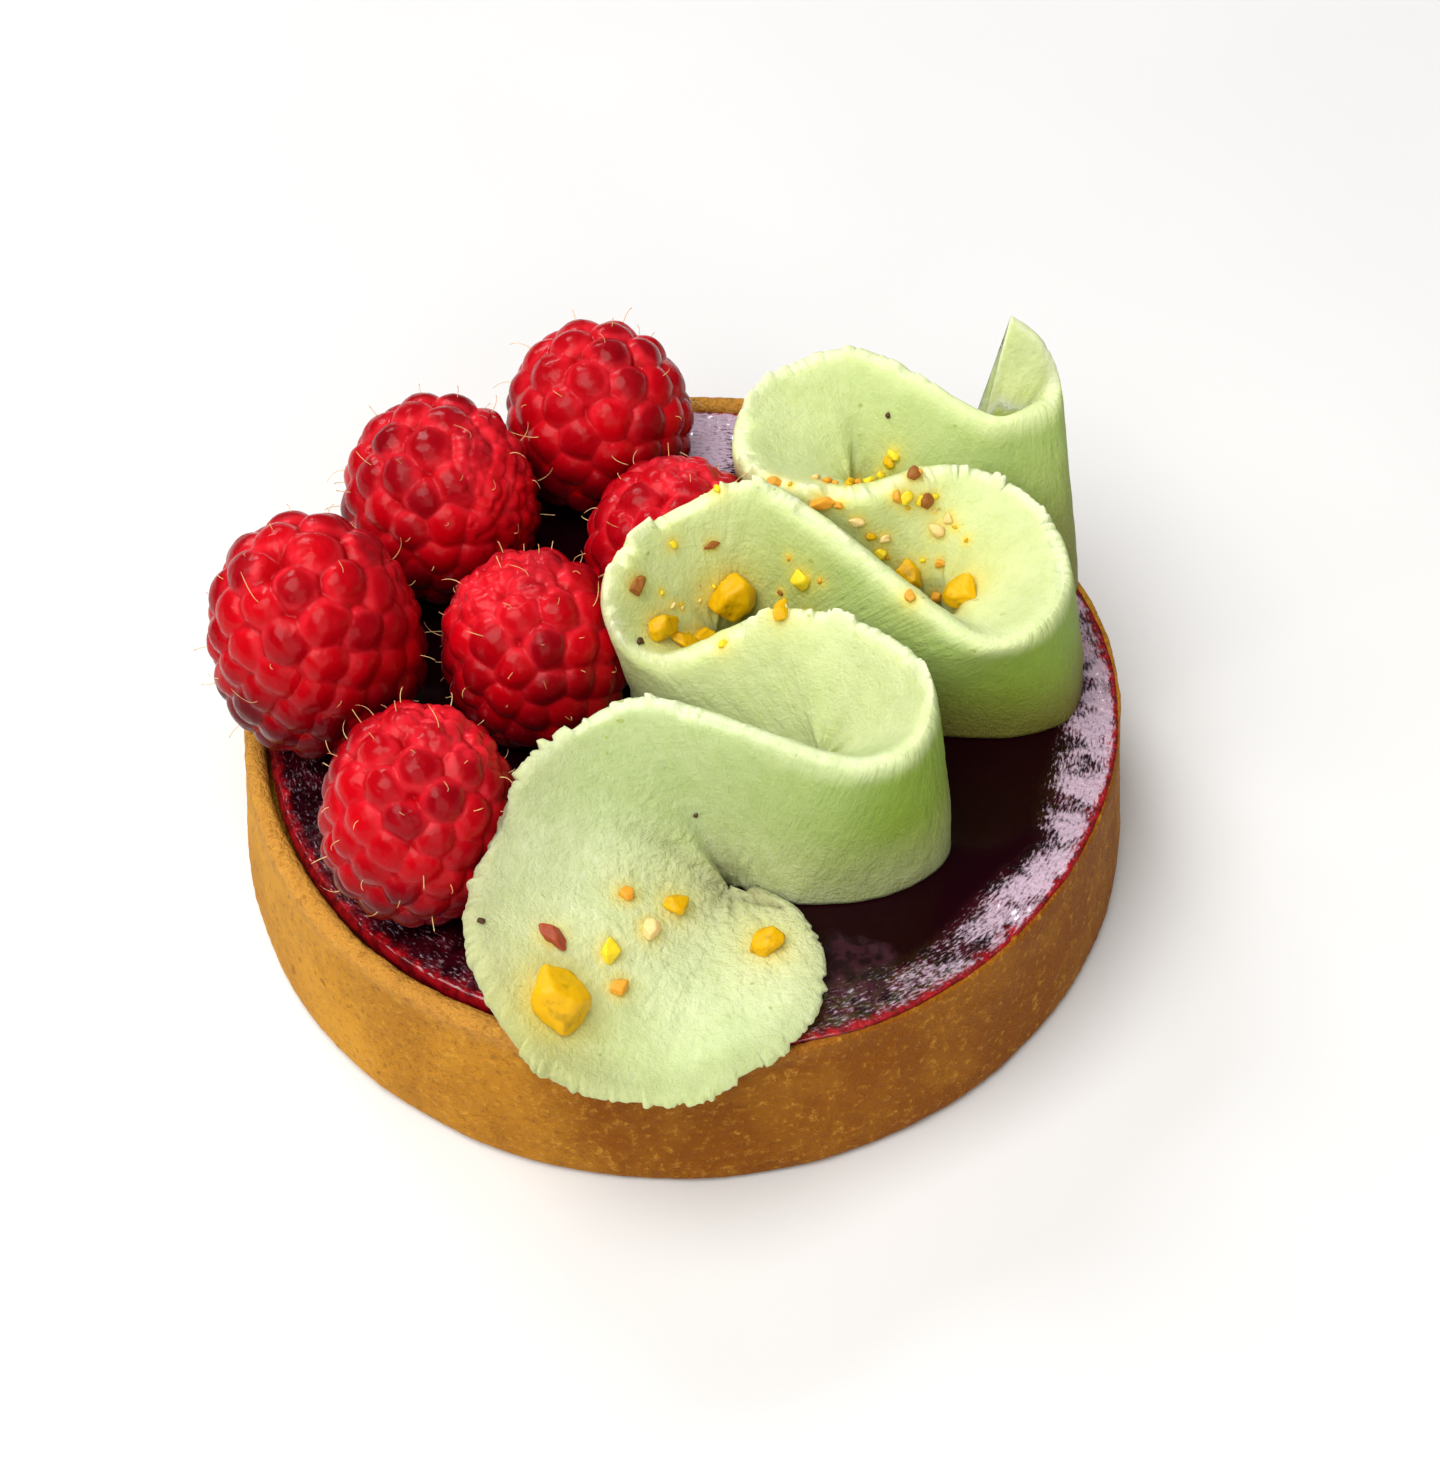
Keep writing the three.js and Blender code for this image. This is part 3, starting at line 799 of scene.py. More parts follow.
@dataclass
class Jelly:
    """The dark jelly level with the brim."""

    case: PastryCase
    seam: float = 0.3
    sides: int = 900
    rings_inside: int = 26
    rings_near_rim: int = 62
    spill_over_lip: float = 0.66
    ragged_spill: float = 0.13
    band: float = 7.0
    patch_at: tuple[float, float] = (14.6, -30.5)
    # Angle that the painted reflection faces.
    painted_reflection_toward: float = 32.0
    streak_long: float = 0.75
    streak_wide: float = 0.26
    side_red: float = 0.6

    def creep(self, angle: np.ndarray) -> np.ndarray:
        """How far the jelly has crept over the brim: 1 where the lip is narrow, 0 where it is wide."""
        return smooth(self.case.lip_width(angle), 1.5, 0.7)

    def rings(self, angle: np.ndarray) -> tuple[np.ndarray, np.ndarray]:
        """Radii of the rings of the top, from the middle outwards and closer together near the rim.

        Args:
            angle: Angles round the jelly.

        Returns:
            Radii, shape (rings, angles), and how many millimetres each is from the rim.
        """
        around = np.stack([np.cos(angle), np.sin(angle), 0 * angle], axis=1) * self.case.diameter / 2
        ragged = self.ragged_spill * layered(around, 5.0, 4, 41)
        spill = self.creep(angle) * (self.spill_over_lip + ragged)
        brim = self.case.diameter / 2 - self.case.lip_width(angle)
        rim = brim - self.seam + self.case.wave(angle) + spill
        inside = np.linspace(0.05, 0.7, self.rings_inside)
        near_rim = np.linspace(0.7, 1.0, self.rings_near_rim)[1:]
        radii = np.concatenate([inside, near_rim])[:, None] * rim
        radii = radii - self.rounding(angle) * smooth(radii / rim, 0.9, 1.0)
        return radii, rim - radii

    def rounding(self, angle: np.ndarray) -> np.ndarray:
        """Millimetres over which the rim of the top is rounded."""
        return 0.45 - 0.3 * self.creep(angle)

    def wrinkles(self, points: np.ndarray, from_rim: np.ndarray) -> np.ndarray:
        """Where the skin of the jelly is wrinkled: a band along the rim whose inner border wanders.

        Args:
            points: Places on the top, shape (n, 3).
            from_rim: Millimetres from the rim.

        Returns:
            Weights from 0 to 1.
        """
        wander = self.band * (1.0 + 0.45 * layered(points, 14.0, 2, 31))
        broken = 0.5 + 0.5 * smooth(layered(points, 2.5, 2, 32), -0.5, 0.3)
        return smooth(from_rim, wander, wander * 0.45) * broken * smooth(from_rim, -0.2, 0.5)

    def patch(self, points: np.ndarray) -> np.ndarray:
        """Where the dull patch near the front is, with a ragged border."""
        away = np.hypot(points[:, 0] - self.patch_at[0], points[:, 1] - self.patch_at[1])
        return smooth(away + 1.6 * layered(points, 2.5, 2, 33), 4.2, 2.8)

    def relief(self, points: np.ndarray, from_rim: np.ndarray, weight: np.ndarray) -> np.ndarray:
        """Height of the wrinkles, as crests of two sizes along bent lines, and of one slow swell.

        Args:
            points: Places on the level top, shape (n, 3).
            from_rim: Millimetres from the rim.
            weight: How wrinkled each place is.

        Returns:
            Millimetres above the level top.
        """
        bend = np.stack([noise(points / 2.4, 37), noise(points / 2.4, 38), 0 * from_rim], axis=1)
        bent = points + 0.9 * bend
        crests = ridged(bent, 1.3, 34) ** 2 * 0.16 + ridged(bent, 0.7, 35) ** 2 * 0.1
        swell = 0.06 * layered(points, 11.0, 1, 36) * smooth(from_rim, 0, 4)
        return weight * (crests - 0.15) + swell

    def frost(self, angle: np.ndarray, radii: np.ndarray, wrinkle: np.ndarray) -> np.ndarray:
        """Where a pale reflection of a sheet of light is painted on the wrinkles: the right side, and a
        veil at the far side.

        Args:
            angle: Angles round the jelly.
            radii: Radii of the rings.
            wrinkle: How wrinkled each place is, in the shape of the radii.

        Returns:
            Weights from 0 to 1.
        """
        toward = np.cos(angle - np.radians(self.painted_reflection_toward))
        lit = wrinkle * (0.3 + 0.7 * smooth(toward, -0.35, 0.45))
        x, y = radii * np.cos(angle), radii * np.sin(angle)
        return np.maximum(lit, smooth(y, 25.0, 31.0) * smooth(x, 8.0, 4.0))

    def surface(self) -> Surface:
        """The top as rings from the middle outwards, closed by its rounded rim, side and underside."""
        angle = np.arange(self.sides) * 2 * np.pi / self.sides
        around = np.stack([np.cos(angle), np.sin(angle)], axis=1)
        radii, gap = self.rings(angle)
        level = np.full_like(radii, CASE_HEIGHT)[..., None]
        points = np.concatenate([radii[..., None] * around, level], axis=-1).reshape(-1, 3)
        from_rim = gap.reshape(-1)
        wrinkle, patch = self.wrinkles(points, from_rim), self.patch(points)
        raised = 0.1 * self.creep(angle) * smooth(gap, 2.2, 0.8)
        points[:, 2] += self.relief(points, from_rim, wrinkle + 0.6 * patch) + raised.reshape(-1)
        side = []
        drops = ((1.0, self.case.jelly_depth - self.seam), (1.0, 0.6), (0.73, 0.3), (0.33, 0.08))
        for out, drop in drops:
            far = (radii[-1] + out * self.rounding(angle))[:, None]
            side.append(np.concatenate([far * around, np.full_like(far, CASE_HEIGHT - drop)], axis=1))
        rings = np.concatenate([np.array(side), points.reshape(radii.shape + (3,))[::-1]])
        made = closed_rings(rings)
        wrinkle = wrinkle.reshape(radii.shape)
        parts = {
            "edge": smooth(from_rim + 0.5 * layered(points, 1.2, 3, 39), 1.4, 0.3).reshape(radii.shape),
            "wrinkle": wrinkle,
            "frost": self.frost(angle, radii, wrinkle) * smooth(gap, 0.1, 0.9),
            "patch": patch.reshape(radii.shape),
        }
        for key, part in parts.items():
            start = np.full(len(drops) * self.sides, self.side_red if key == "edge" else 0.0)
            made.values[key] = np.concatenate([start, part[::-1].reshape(-1), [0.0, 0.0]])
        arc = np.minimum(angle, 2 * np.pi - angle) * self.case.diameter / 2 + 0 * rings[..., 0]
        out = np.hypot(rings[..., 0], rings[..., 1])
        along = np.stack([arc / self.streak_long, out / self.streak_wide], axis=-1).reshape(-1, 2)
        made.uv = np.concatenate([along, np.zeros((2, 2))])
        return made

    def build(self) -> bpy.types.Object:
        """Makes the jelly in place of its plain solid."""
        jelly = self.surface().piece("jelly", DarkJelly().material())
        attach(jelly, "root")
        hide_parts("raspberry_jelly")
        return jelly


# Raspberries


@dataclass
class Raspberry:
    """One raspberry standing on the jelly, with its drupelets and hairs.

    It leans by some degrees toward an angle, is crinkled round one direction, and is widest at a share
    of its height.
    """

    number: int
    x: float
    y: float
    radius: float
    height: float
    lean: float
    toward: float
    drupelets: int
    crinkled: Triple = (0.0, 0.0, 1.0)
    crinkle_reach: float = 0.0
    hairs: int = 34
    shoulder: float = 0.88
    widest_at: float = 0.42
    ball_size: float = 0.7
    spread_turns: int = 30
    tip_narrowing: float = 0.08
    sole_flat: float = 0.6
    hair_shortest: float = 1.2
    hair_longer_by: float = 1.7
    hair_rings: int = 8
    hair_corners: int = 5

    @property
    def stream(self) -> int:
        """The first of the rows of random numbers that are this raspberry's own."""
        return 10 * (self.number - 1) + 1

    def centres(self, count: int, stream: int) -> np.ndarray:
        """Directions of the drupelets: even steps along a spiral over the sphere, each nudged a little.

        Args:
            count: How many directions.
            stream: Which random numbers nudge them.

        Returns:
            Directions, shape (count, 3).
        """
        index = np.arange(count)
        height = 1 - 2 * (index + 0.5) / count
        reach = np.sqrt(1 - height * height)
        turn = index * np.pi * (3 - np.sqrt(5))
        spiral = np.stack([reach * np.cos(turn), reach * np.sin(turn), height], axis=1)
        nudges = np.stack([chance(index, stream + axis) - 0.5 for axis in range(3)], axis=1)
        made = unit(spiral + 1.6 / np.sqrt(count) * nudges)
        for _ in range(self.spread_turns):
            at = self.form(made)
            apart = at[:, None] - at[None]
            far = (apart**2).sum(axis=2) + np.eye(count)
            push = (apart / far[..., None] ** 2).sum(axis=1) * self.radius**3 / count**1.5
            made = unit(made + 0.5 * np.clip(push, -0.05, 0.05))
        return made

    def form(self, direction: np.ndarray) -> np.ndarray:
        """Outer form: a blunt cone with round shoulders, widest at a share of its height.

        Args:
            direction: Directions from its middle, shape (n, 3).

        Returns:
            Points, shape (n, 3).
        """
        x, y, z = direction.T
        flat = np.maximum(np.hypot(x, y), 1e-6)
        widen = flat ** (self.shoulder - 1) * (1 - self.tip_narrowing * np.maximum(z, 0)) * self.radius
        half = np.where(z > 0, (1 - self.widest_at) * self.height, self.widest_at * self.height)
        tall = np.sign(z) * np.abs(z) ** self.shoulder * half
        return np.stack([x * widen, y * widen, tall], axis=1)

    def turn(self) -> np.ndarray:
        """The matrix of its lean: a turn about the level line square to where it leans."""
        toward = np.radians(self.toward)
        axis = Vector((-np.sin(toward), np.cos(toward), 0))
        return np.array(Matrix.Rotation(np.radians(self.lean), 3, axis))

    def middle(self) -> np.ndarray:
        """Where its middle is."""
        return np.array([self.x, self.y, REST_Z + self.widest_at * self.height - self.sole_flat])

    def beads(
        self, direction: np.ndarray, centres: np.ndarray, stream: int
    ) -> tuple[np.ndarray, np.ndarray]:
        """Where a line from the middle leaves a cluster of balls that touch the outer form from inside.

        With c the middle of a ball, b its radius and d the line's direction, the line leaves it at
        d.c + sqrt(b^2 - c.c + (d.c)^2); the farthest ball counts.

        Args:
            direction: Directions before they are drawn out to the outer form, shape (n, 3).
            centres: Such directions of the balls, shape (m, 3).
            stream: Which random numbers vary the balls' sizes.

        Returns:
            Millimetres from each line's end to the outer form, and the number of the ball it leaves.
        """
        middles = self.form(centres)
        apart = np.linalg.norm(middles[:, None] - middles[None], axis=2) + 1e3 * np.eye(len(centres))
        spacing = apart.min(axis=1)
        spacing = 0.5 * spacing + 0.5 * spacing.mean()
        ball = self.ball_size * spacing * (1 + 0.2 * (chance(np.arange(len(centres)), stream) - 0.5))
        middles = middles * (1 - ball / np.linalg.norm(middles, axis=1))[:, None]
        outer = self.form(direction)
        reach = np.linalg.norm(outer, axis=1)
        along = (outer / reach[:, None]) @ middles.T
        inside = ball**2 - (middles**2).sum(axis=1) + along**2
        leaves = along + np.where(inside > 0, np.sqrt(np.maximum(inside, 0)), inside * 0.4)
        nearest = leaves.argmax(axis=1)
        return reach - leaves[np.arange(len(direction)), nearest], nearest

    def surface(self, directions: np.ndarray, triangles: np.ndarray) -> Surface:
        """Its skin: the outer form, sunk between the drupelets like the gaps between balls.

        Args:
            directions: Directions evenly over a sphere.
            triangles: The faces between them.

        Returns:
            The surface.
        """
        stream = self.stream
        wobble = directions * self.radius
        bent = np.stack([noise(wobble / 2.6, 40 + self.number * 3 + axis) for axis in range(3)], axis=1)
        centres = self.centres(self.drupelets, stream)
        fall, nearest = self.beads(unit(directions + 0.04 * bent), centres, stream + 5)
        reach = self.crinkle_reach
        zone = directions @ unit(np.array(self.crinkled)) + 0.12 * bent[:, 0]
        crinkled = smooth(zone, 1.0 - reach, 1.08 - 0.6 * reach) * float(reach > 0)
        tiny = self.centres(self.drupelets * 4, stream + 60)
        small, _ = self.beads(unit(directions + 0.05 * bent), tiny, stream + 7)
        sunk = fall * (1 - 0.35 * crinkled) + crinkled * 0.6 * small
        sunk = sunk + crinkled * 0.3 * (1 - ridged(wobble, 1.7, 50 + self.number))
        sunk = sunk + 0.05 * layered(wobble, 1.3, 2, 60 + self.number)
        outer = self.form(directions)
        points = outer - sunk[:, None] * unit(outer)
        points = turned(points, self.turn())
        points[:, 2] = np.maximum(points[:, 2], -(self.widest_at * self.height - self.sole_flat))
        up = turned(directions, self.turn())[:, 2]
        made = Surface(points + self.middle(), np.zeros((0, 4), int), triangles)
        # How deep each place lies in a gap, for the painted shade there.
        valley = smooth(fall, 0.35, 1.0)
        ripe = 0.6 * chance(nearest, stream + 6) + 0.35 * layered(wobble, 7.0, 1, 70 + self.number)
        top = smooth(up, 0.0, 0.95)
        # ring: a painted pale rim light round the edge of each drupelet.
        ring = smooth(fall, 0.22, 0.5) * smooth(fall, 1.1, 0.75)
        # core: painted shade at the middle of each drupelet.
        core = smooth(fall, 0.3, 0.05)
        # smooth(up, 0.4, -0.4) paints shade on the lower side.
        made.values = {
            "valley": valley,
            "tint": np.clip(ripe * (1 - valley) + 0.1 * core + smooth(up, 0.4, -0.4), 0, 1),
            "bloom": np.clip((0.14 + 0.6 * crinkled) * top + 0.65 * ring * (0.1 + 0.9 * top), 0, 1),
        }
        return made

    def hair(self, directions: np.ndarray) -> Surface:
        """Its hairs: thin bent tubes with a small knob at the end, from the tops of some drupelets.

        Args:
            directions: Directions of the drupelets.

        Returns:
            The surface of them all.
        """
        stream = 200 + 10 * self.number
        order = np.argsort(chance(np.arange(len(directions)), stream))
        up = turned(directions, self.turn())[:, 2]
        chosen = order[up[order] > -0.35][: self.hairs]
        index = np.arange(len(chosen))
        nudge = np.stack([chance(index, stream + axis + 1) - 0.5 for axis in range(3)], axis=1)
        start = unit(directions[chosen] + 0.12 * nudge)
        fall, _ = self.beads(start, directions, self.stream + 5)
        root = turned(self.form(start), self.turn()) + self.middle()
        out = turned(start, self.turn())
        root = root - out * (fall + 0.3)[:, None]
        side = unit(np.cross(out, nudge + 0.3))
        length = self.hair_shortest + self.hair_longer_by * chance(index, stream + 4)
        bend = 1.5 * (chance(index, stream + 5) - 0.35)
        share = np.linspace(0, 1, self.hair_rings)
        rise = length[:, None] * share * (1 - 0.35 * share)
        sway = bend[:, None] * length[:, None] * share**2
        path = root[:, None] + out[:, None] * rise[..., None] + side[:, None] * sway[..., None]
        width = np.interp(share, [0, 0.2, 0.8, 0.9, 1.0], [0.05, 0.04, 0.033, 0.065, 0.035])
        other = np.cross(out, side)
        spoke = np.arange(self.hair_corners) * 2 * np.pi / self.hair_corners
        ring = side[:, None] * np.cos(spoke)[:, None] + other[:, None] * np.sin(spoke)[:, None]
        points = path[:, :, None] + ring[:, None] * width[:, None, None]
        tubes = [closed_rings(tube) for tube in points]
        starts = np.arange(len(tubes)) * len(tubes[0].points)
        made = Surface(
            np.concatenate([tube.points for tube in tubes]),
            np.concatenate([tube.quads + start for tube, start in zip(tubes, starts)]),
            np.concatenate([tube.triangles + start for tube, start in zip(tubes, starts)]),
        )
        along = np.concatenate([np.repeat(share, self.hair_corners), [0.0, 1.0]])
        made.values = {"along": np.tile(along, len(chosen))}
        return made

    def build(
        self,
        directions: np.ndarray,
        triangles: np.ndarray,
        skin: bpy.types.Material,
        straw: bpy.types.Material,
    ) -> None:
        """Makes the raspberry and its hairs in place of the plain solid.

        Args:
            directions: Directions evenly over a sphere.
            triangles: The faces between them.
            skin: The finish of the berry.
            straw: The finish of the hairs.
        """
        name = f"berry_{self.number}"
        berry = self.surface(directions, triangles).piece(name, skin)
        hairs = self.hair(self.centres(self.drupelets, self.stream)).piece(f"{name}_hairs", straw)
        for thing in (berry, hairs):
            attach(thing, "root")
            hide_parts(f"raspberry_{self.number}")


# Cream


@dataclass(frozen=True)
class Turn:
    """Half a turn of the ribbon: half an ellipse round x, y that reaches out to one side.

    Its back end is moved to the right by slant and its front end to the left, and its side is moved back
    by hang. Each triple but the last holds values at its back, its side and its front: the height of the
    edge, how far the foot stands out, and how far the foot lies to the right of the edge. The last one is
    the lowest place of its cup.
    """

    side: int
    x: float
    y: float
    reach: float
    half: float
    slant: float
    hang: float
    top: Triple
    foot: Triple
    lean_x: Triple
    lean_y: float
    low: Triple


@dataclass(frozen=True)
class Nut:
    """A nut piece seen from above: its sort, place, length, width and turn in degrees."""

    kind: NutKind
    x: float
    y: float
    long: float
    wide: float
    turn: float | None = None


UPRIGHT = (0.0, 0.0, 0.0)

TURNS = (
    Turn(
        1, 30.5, 21.7, 5.1, 2.8, 0.7, 0,
        (41.3, 33.8, 33.1), (0, 1, 1.6), (-8, 1.3, -0.2), -8.5, (29.4, 20.6, 25),
    ),
    Turn(
        -1, 16.4, 19.8, 10.7, 9.8, 0.2, 0,
        (32.6, 31.1, 33.4), (0.6, -1.2, 0.2), UPRIGHT, 0, (16.6, 20.4, 23.8),
    ),
    Turn(
        1, 26.3, 3.6, 8.6, 10.4, -1, 0,
        (32.4, 31.8, 31.5), (2.4, 2, 1.5), UPRIGHT, 0, (24.3, 5.6, 25),
    ),
    Turn(
        -1, 2.7, 3, 7.8, 6.9, 4.5, 0,
        (35.4, 34.4, 27.4), (-3.2, -3.6, 0), UPRIGHT, 0, (3.5, 3.4, 22.5),
    ),
    Turn(
        1, 12.6, -12.4, 8.8, 9.1, -3.1, 0,
        (32.8, 35, 33.5), (0.6, 1.7, 2.8), UPRIGHT, 0, (12.3, -12.8, 24),
    ),
    Turn(
        -1, -3.6, -29.8, 14.6, 15, -0.9, -2.4,
        (35, 27.4, 18.8), (-3, -6, -5.5), UPRIGHT, 0, (4, -22.8, 19.2),
    ),
)

NUTS = (
    Nut(NutKind.AMBER, -10.7, -37.5, 5.8, 5.2),
    Nut(NutKind.AMBER, 7.1, -29.1, 3.0, 2.6),
    Nut(NutKind.AMBER, -0.7, -26.3, 2.3, 1.9),
    Nut(NutKind.YELLOW, -6.3, -32.1, 2.3, 1.4),
    Nut(NutKind.BEIGE, -2.9, -29.1, 2.0, 1.5),
    Nut(NutKind.ORANGE, -5.7, -34.8, 1.8, 1.4),
    Nut(NutKind.ORANGE, -4.8, -26.6, 1.4, 1.3),
    Nut(NutKind.RED, -11.0, -32.3, 2.6, 1.5, -35.0),
    Nut(NutKind.AMBER, 4.2, 4.9, 4.9, 4.3),
    Nut(NutKind.AMBER, -1.7, 0.1, 3.0, 2.6, 20.0),
    Nut(NutKind.AMBER, 0.8, 0.0, 3.6, 1.9, 5.0),
    Nut(NutKind.AMBER, 2.0, 1.9, 2.8, 2.2, 40.0),
    Nut(NutKind.YELLOW, 5.2, 1.2, 1.7, 1.2),
    Nut(NutKind.BROWN, -3.5, 1.0, 1.8, 1.3),
    Nut(NutKind.YELLOW, 11.3, 3.4, 1.8, 1.6),
    Nut(NutKind.AMBER, 9.0, -3.6, 2.1, 1.3),
    Nut(NutKind.ORANGE, 9.1, 12.8, 1.8, 1.3),
    Nut(NutKind.ORANGE, 13.3, 9.8, 2.8, 1.3),
    Nut(NutKind.YELLOW, 16.4, 20.4, 1.3, 1.2),
    Nut(NutKind.BROWN, 21.6, 12.3, 1.4, 1.1),
    Nut(NutKind.BROWN, 22.7, 10.9, 1.4, 1.2),
    Nut(NutKind.YELLOW, 20.8, 10.5, 1.4, 1.2),
    Nut(NutKind.BEIGE, 23.8, 9.7, 1.6, 1.1),
    Nut(NutKind.YELLOW, 18.6, 8.5, 1.2, 1.1),
    Nut(NutKind.AMBER, 21.3, 7.9, 3.1, 2.4),
    Nut(NutKind.AMBER, 26.1, 4.2, 3.6, 3.1),
    Nut(NutKind.ORANGE, 23.6, 7.2, 1.3, 1.1),
    Nut(NutKind.YELLOW, 19.4, 20.5, 1.1, 0.9),
    Nut(NutKind.YELLOW, 17.8, 12.7, 1.1, 0.9),
    Nut(NutKind.BEIGE, 16.5, 8.9, 1.4, 0.9),
    Nut(NutKind.ORANGE, 20.6, -2.1, 1.3, 0.9),
    Nut(NutKind.YELLOW, 3.9, 9.3, 0.9, 0.7),
    Nut(NutKind.YELLOW, 4.1, -3.9, 1.1, 0.8),
    Nut(NutKind.BROWN, 3.3, 6.3, 1.4, 0.7),
    Nut(NutKind.DARK, -16.8, -32.0, 0.7, 0.6),
    Nut(NutKind.DARK, -3.3, -2.1, 0.8, 0.7),
    Nut(NutKind.DARK, 3.5, 3.4, 1.1, 0.7),
    Nut(NutKind.DARK, 20.1, 23.5, 0.6, 0.5),
    Nut(NutKind.DARK, 1.3, -19.7, 0.5, 0.4),
    Nut(NutKind.BROWN, 9.4, 3.9, 0.6, 0.5),
)


@dataclass
class Sections:
    """The ribbon's cross sections while they are worked out: n of them, of m points each.

    A place is counted in turns, from 0 at the side of the first to 5 at the side of the last; the flap
    starts at about 4.6. top is the number of the edge's point in a section, soft says how round the lip
    is, shape (n, 1), length is millimetres along the edge and down millimetres from it.
    """

    points: np.ndarray
    place: np.ndarray
    top: int
    soft: np.ndarray
    length: np.ndarray
    down: np.ndarray

    @property
    def side(self) -> np.ndarray:
        """-1 on the left of the edge, 1 on its right and 0 on it, shape (n, m)."""
        count, across, _ = self.points.shape
        return np.sign(np.arange(across) - self.top)[None, :] + np.zeros((count, 1))

    def after(self, start: float, end: float) -> np.ndarray:
        """Rises from 0 to 1 between two places, or falls where the second comes first, shape (n, 1)."""
        return smooth(self.place, start, end)[:, None]


def between(first: np.ndarray, last: np.ndarray, t: np.ndarray, start: float, end: float) -> np.ndarray:
    """Straight blend of two values between two knots."""
    return first + (last - first) * (t - start) / (end - start)


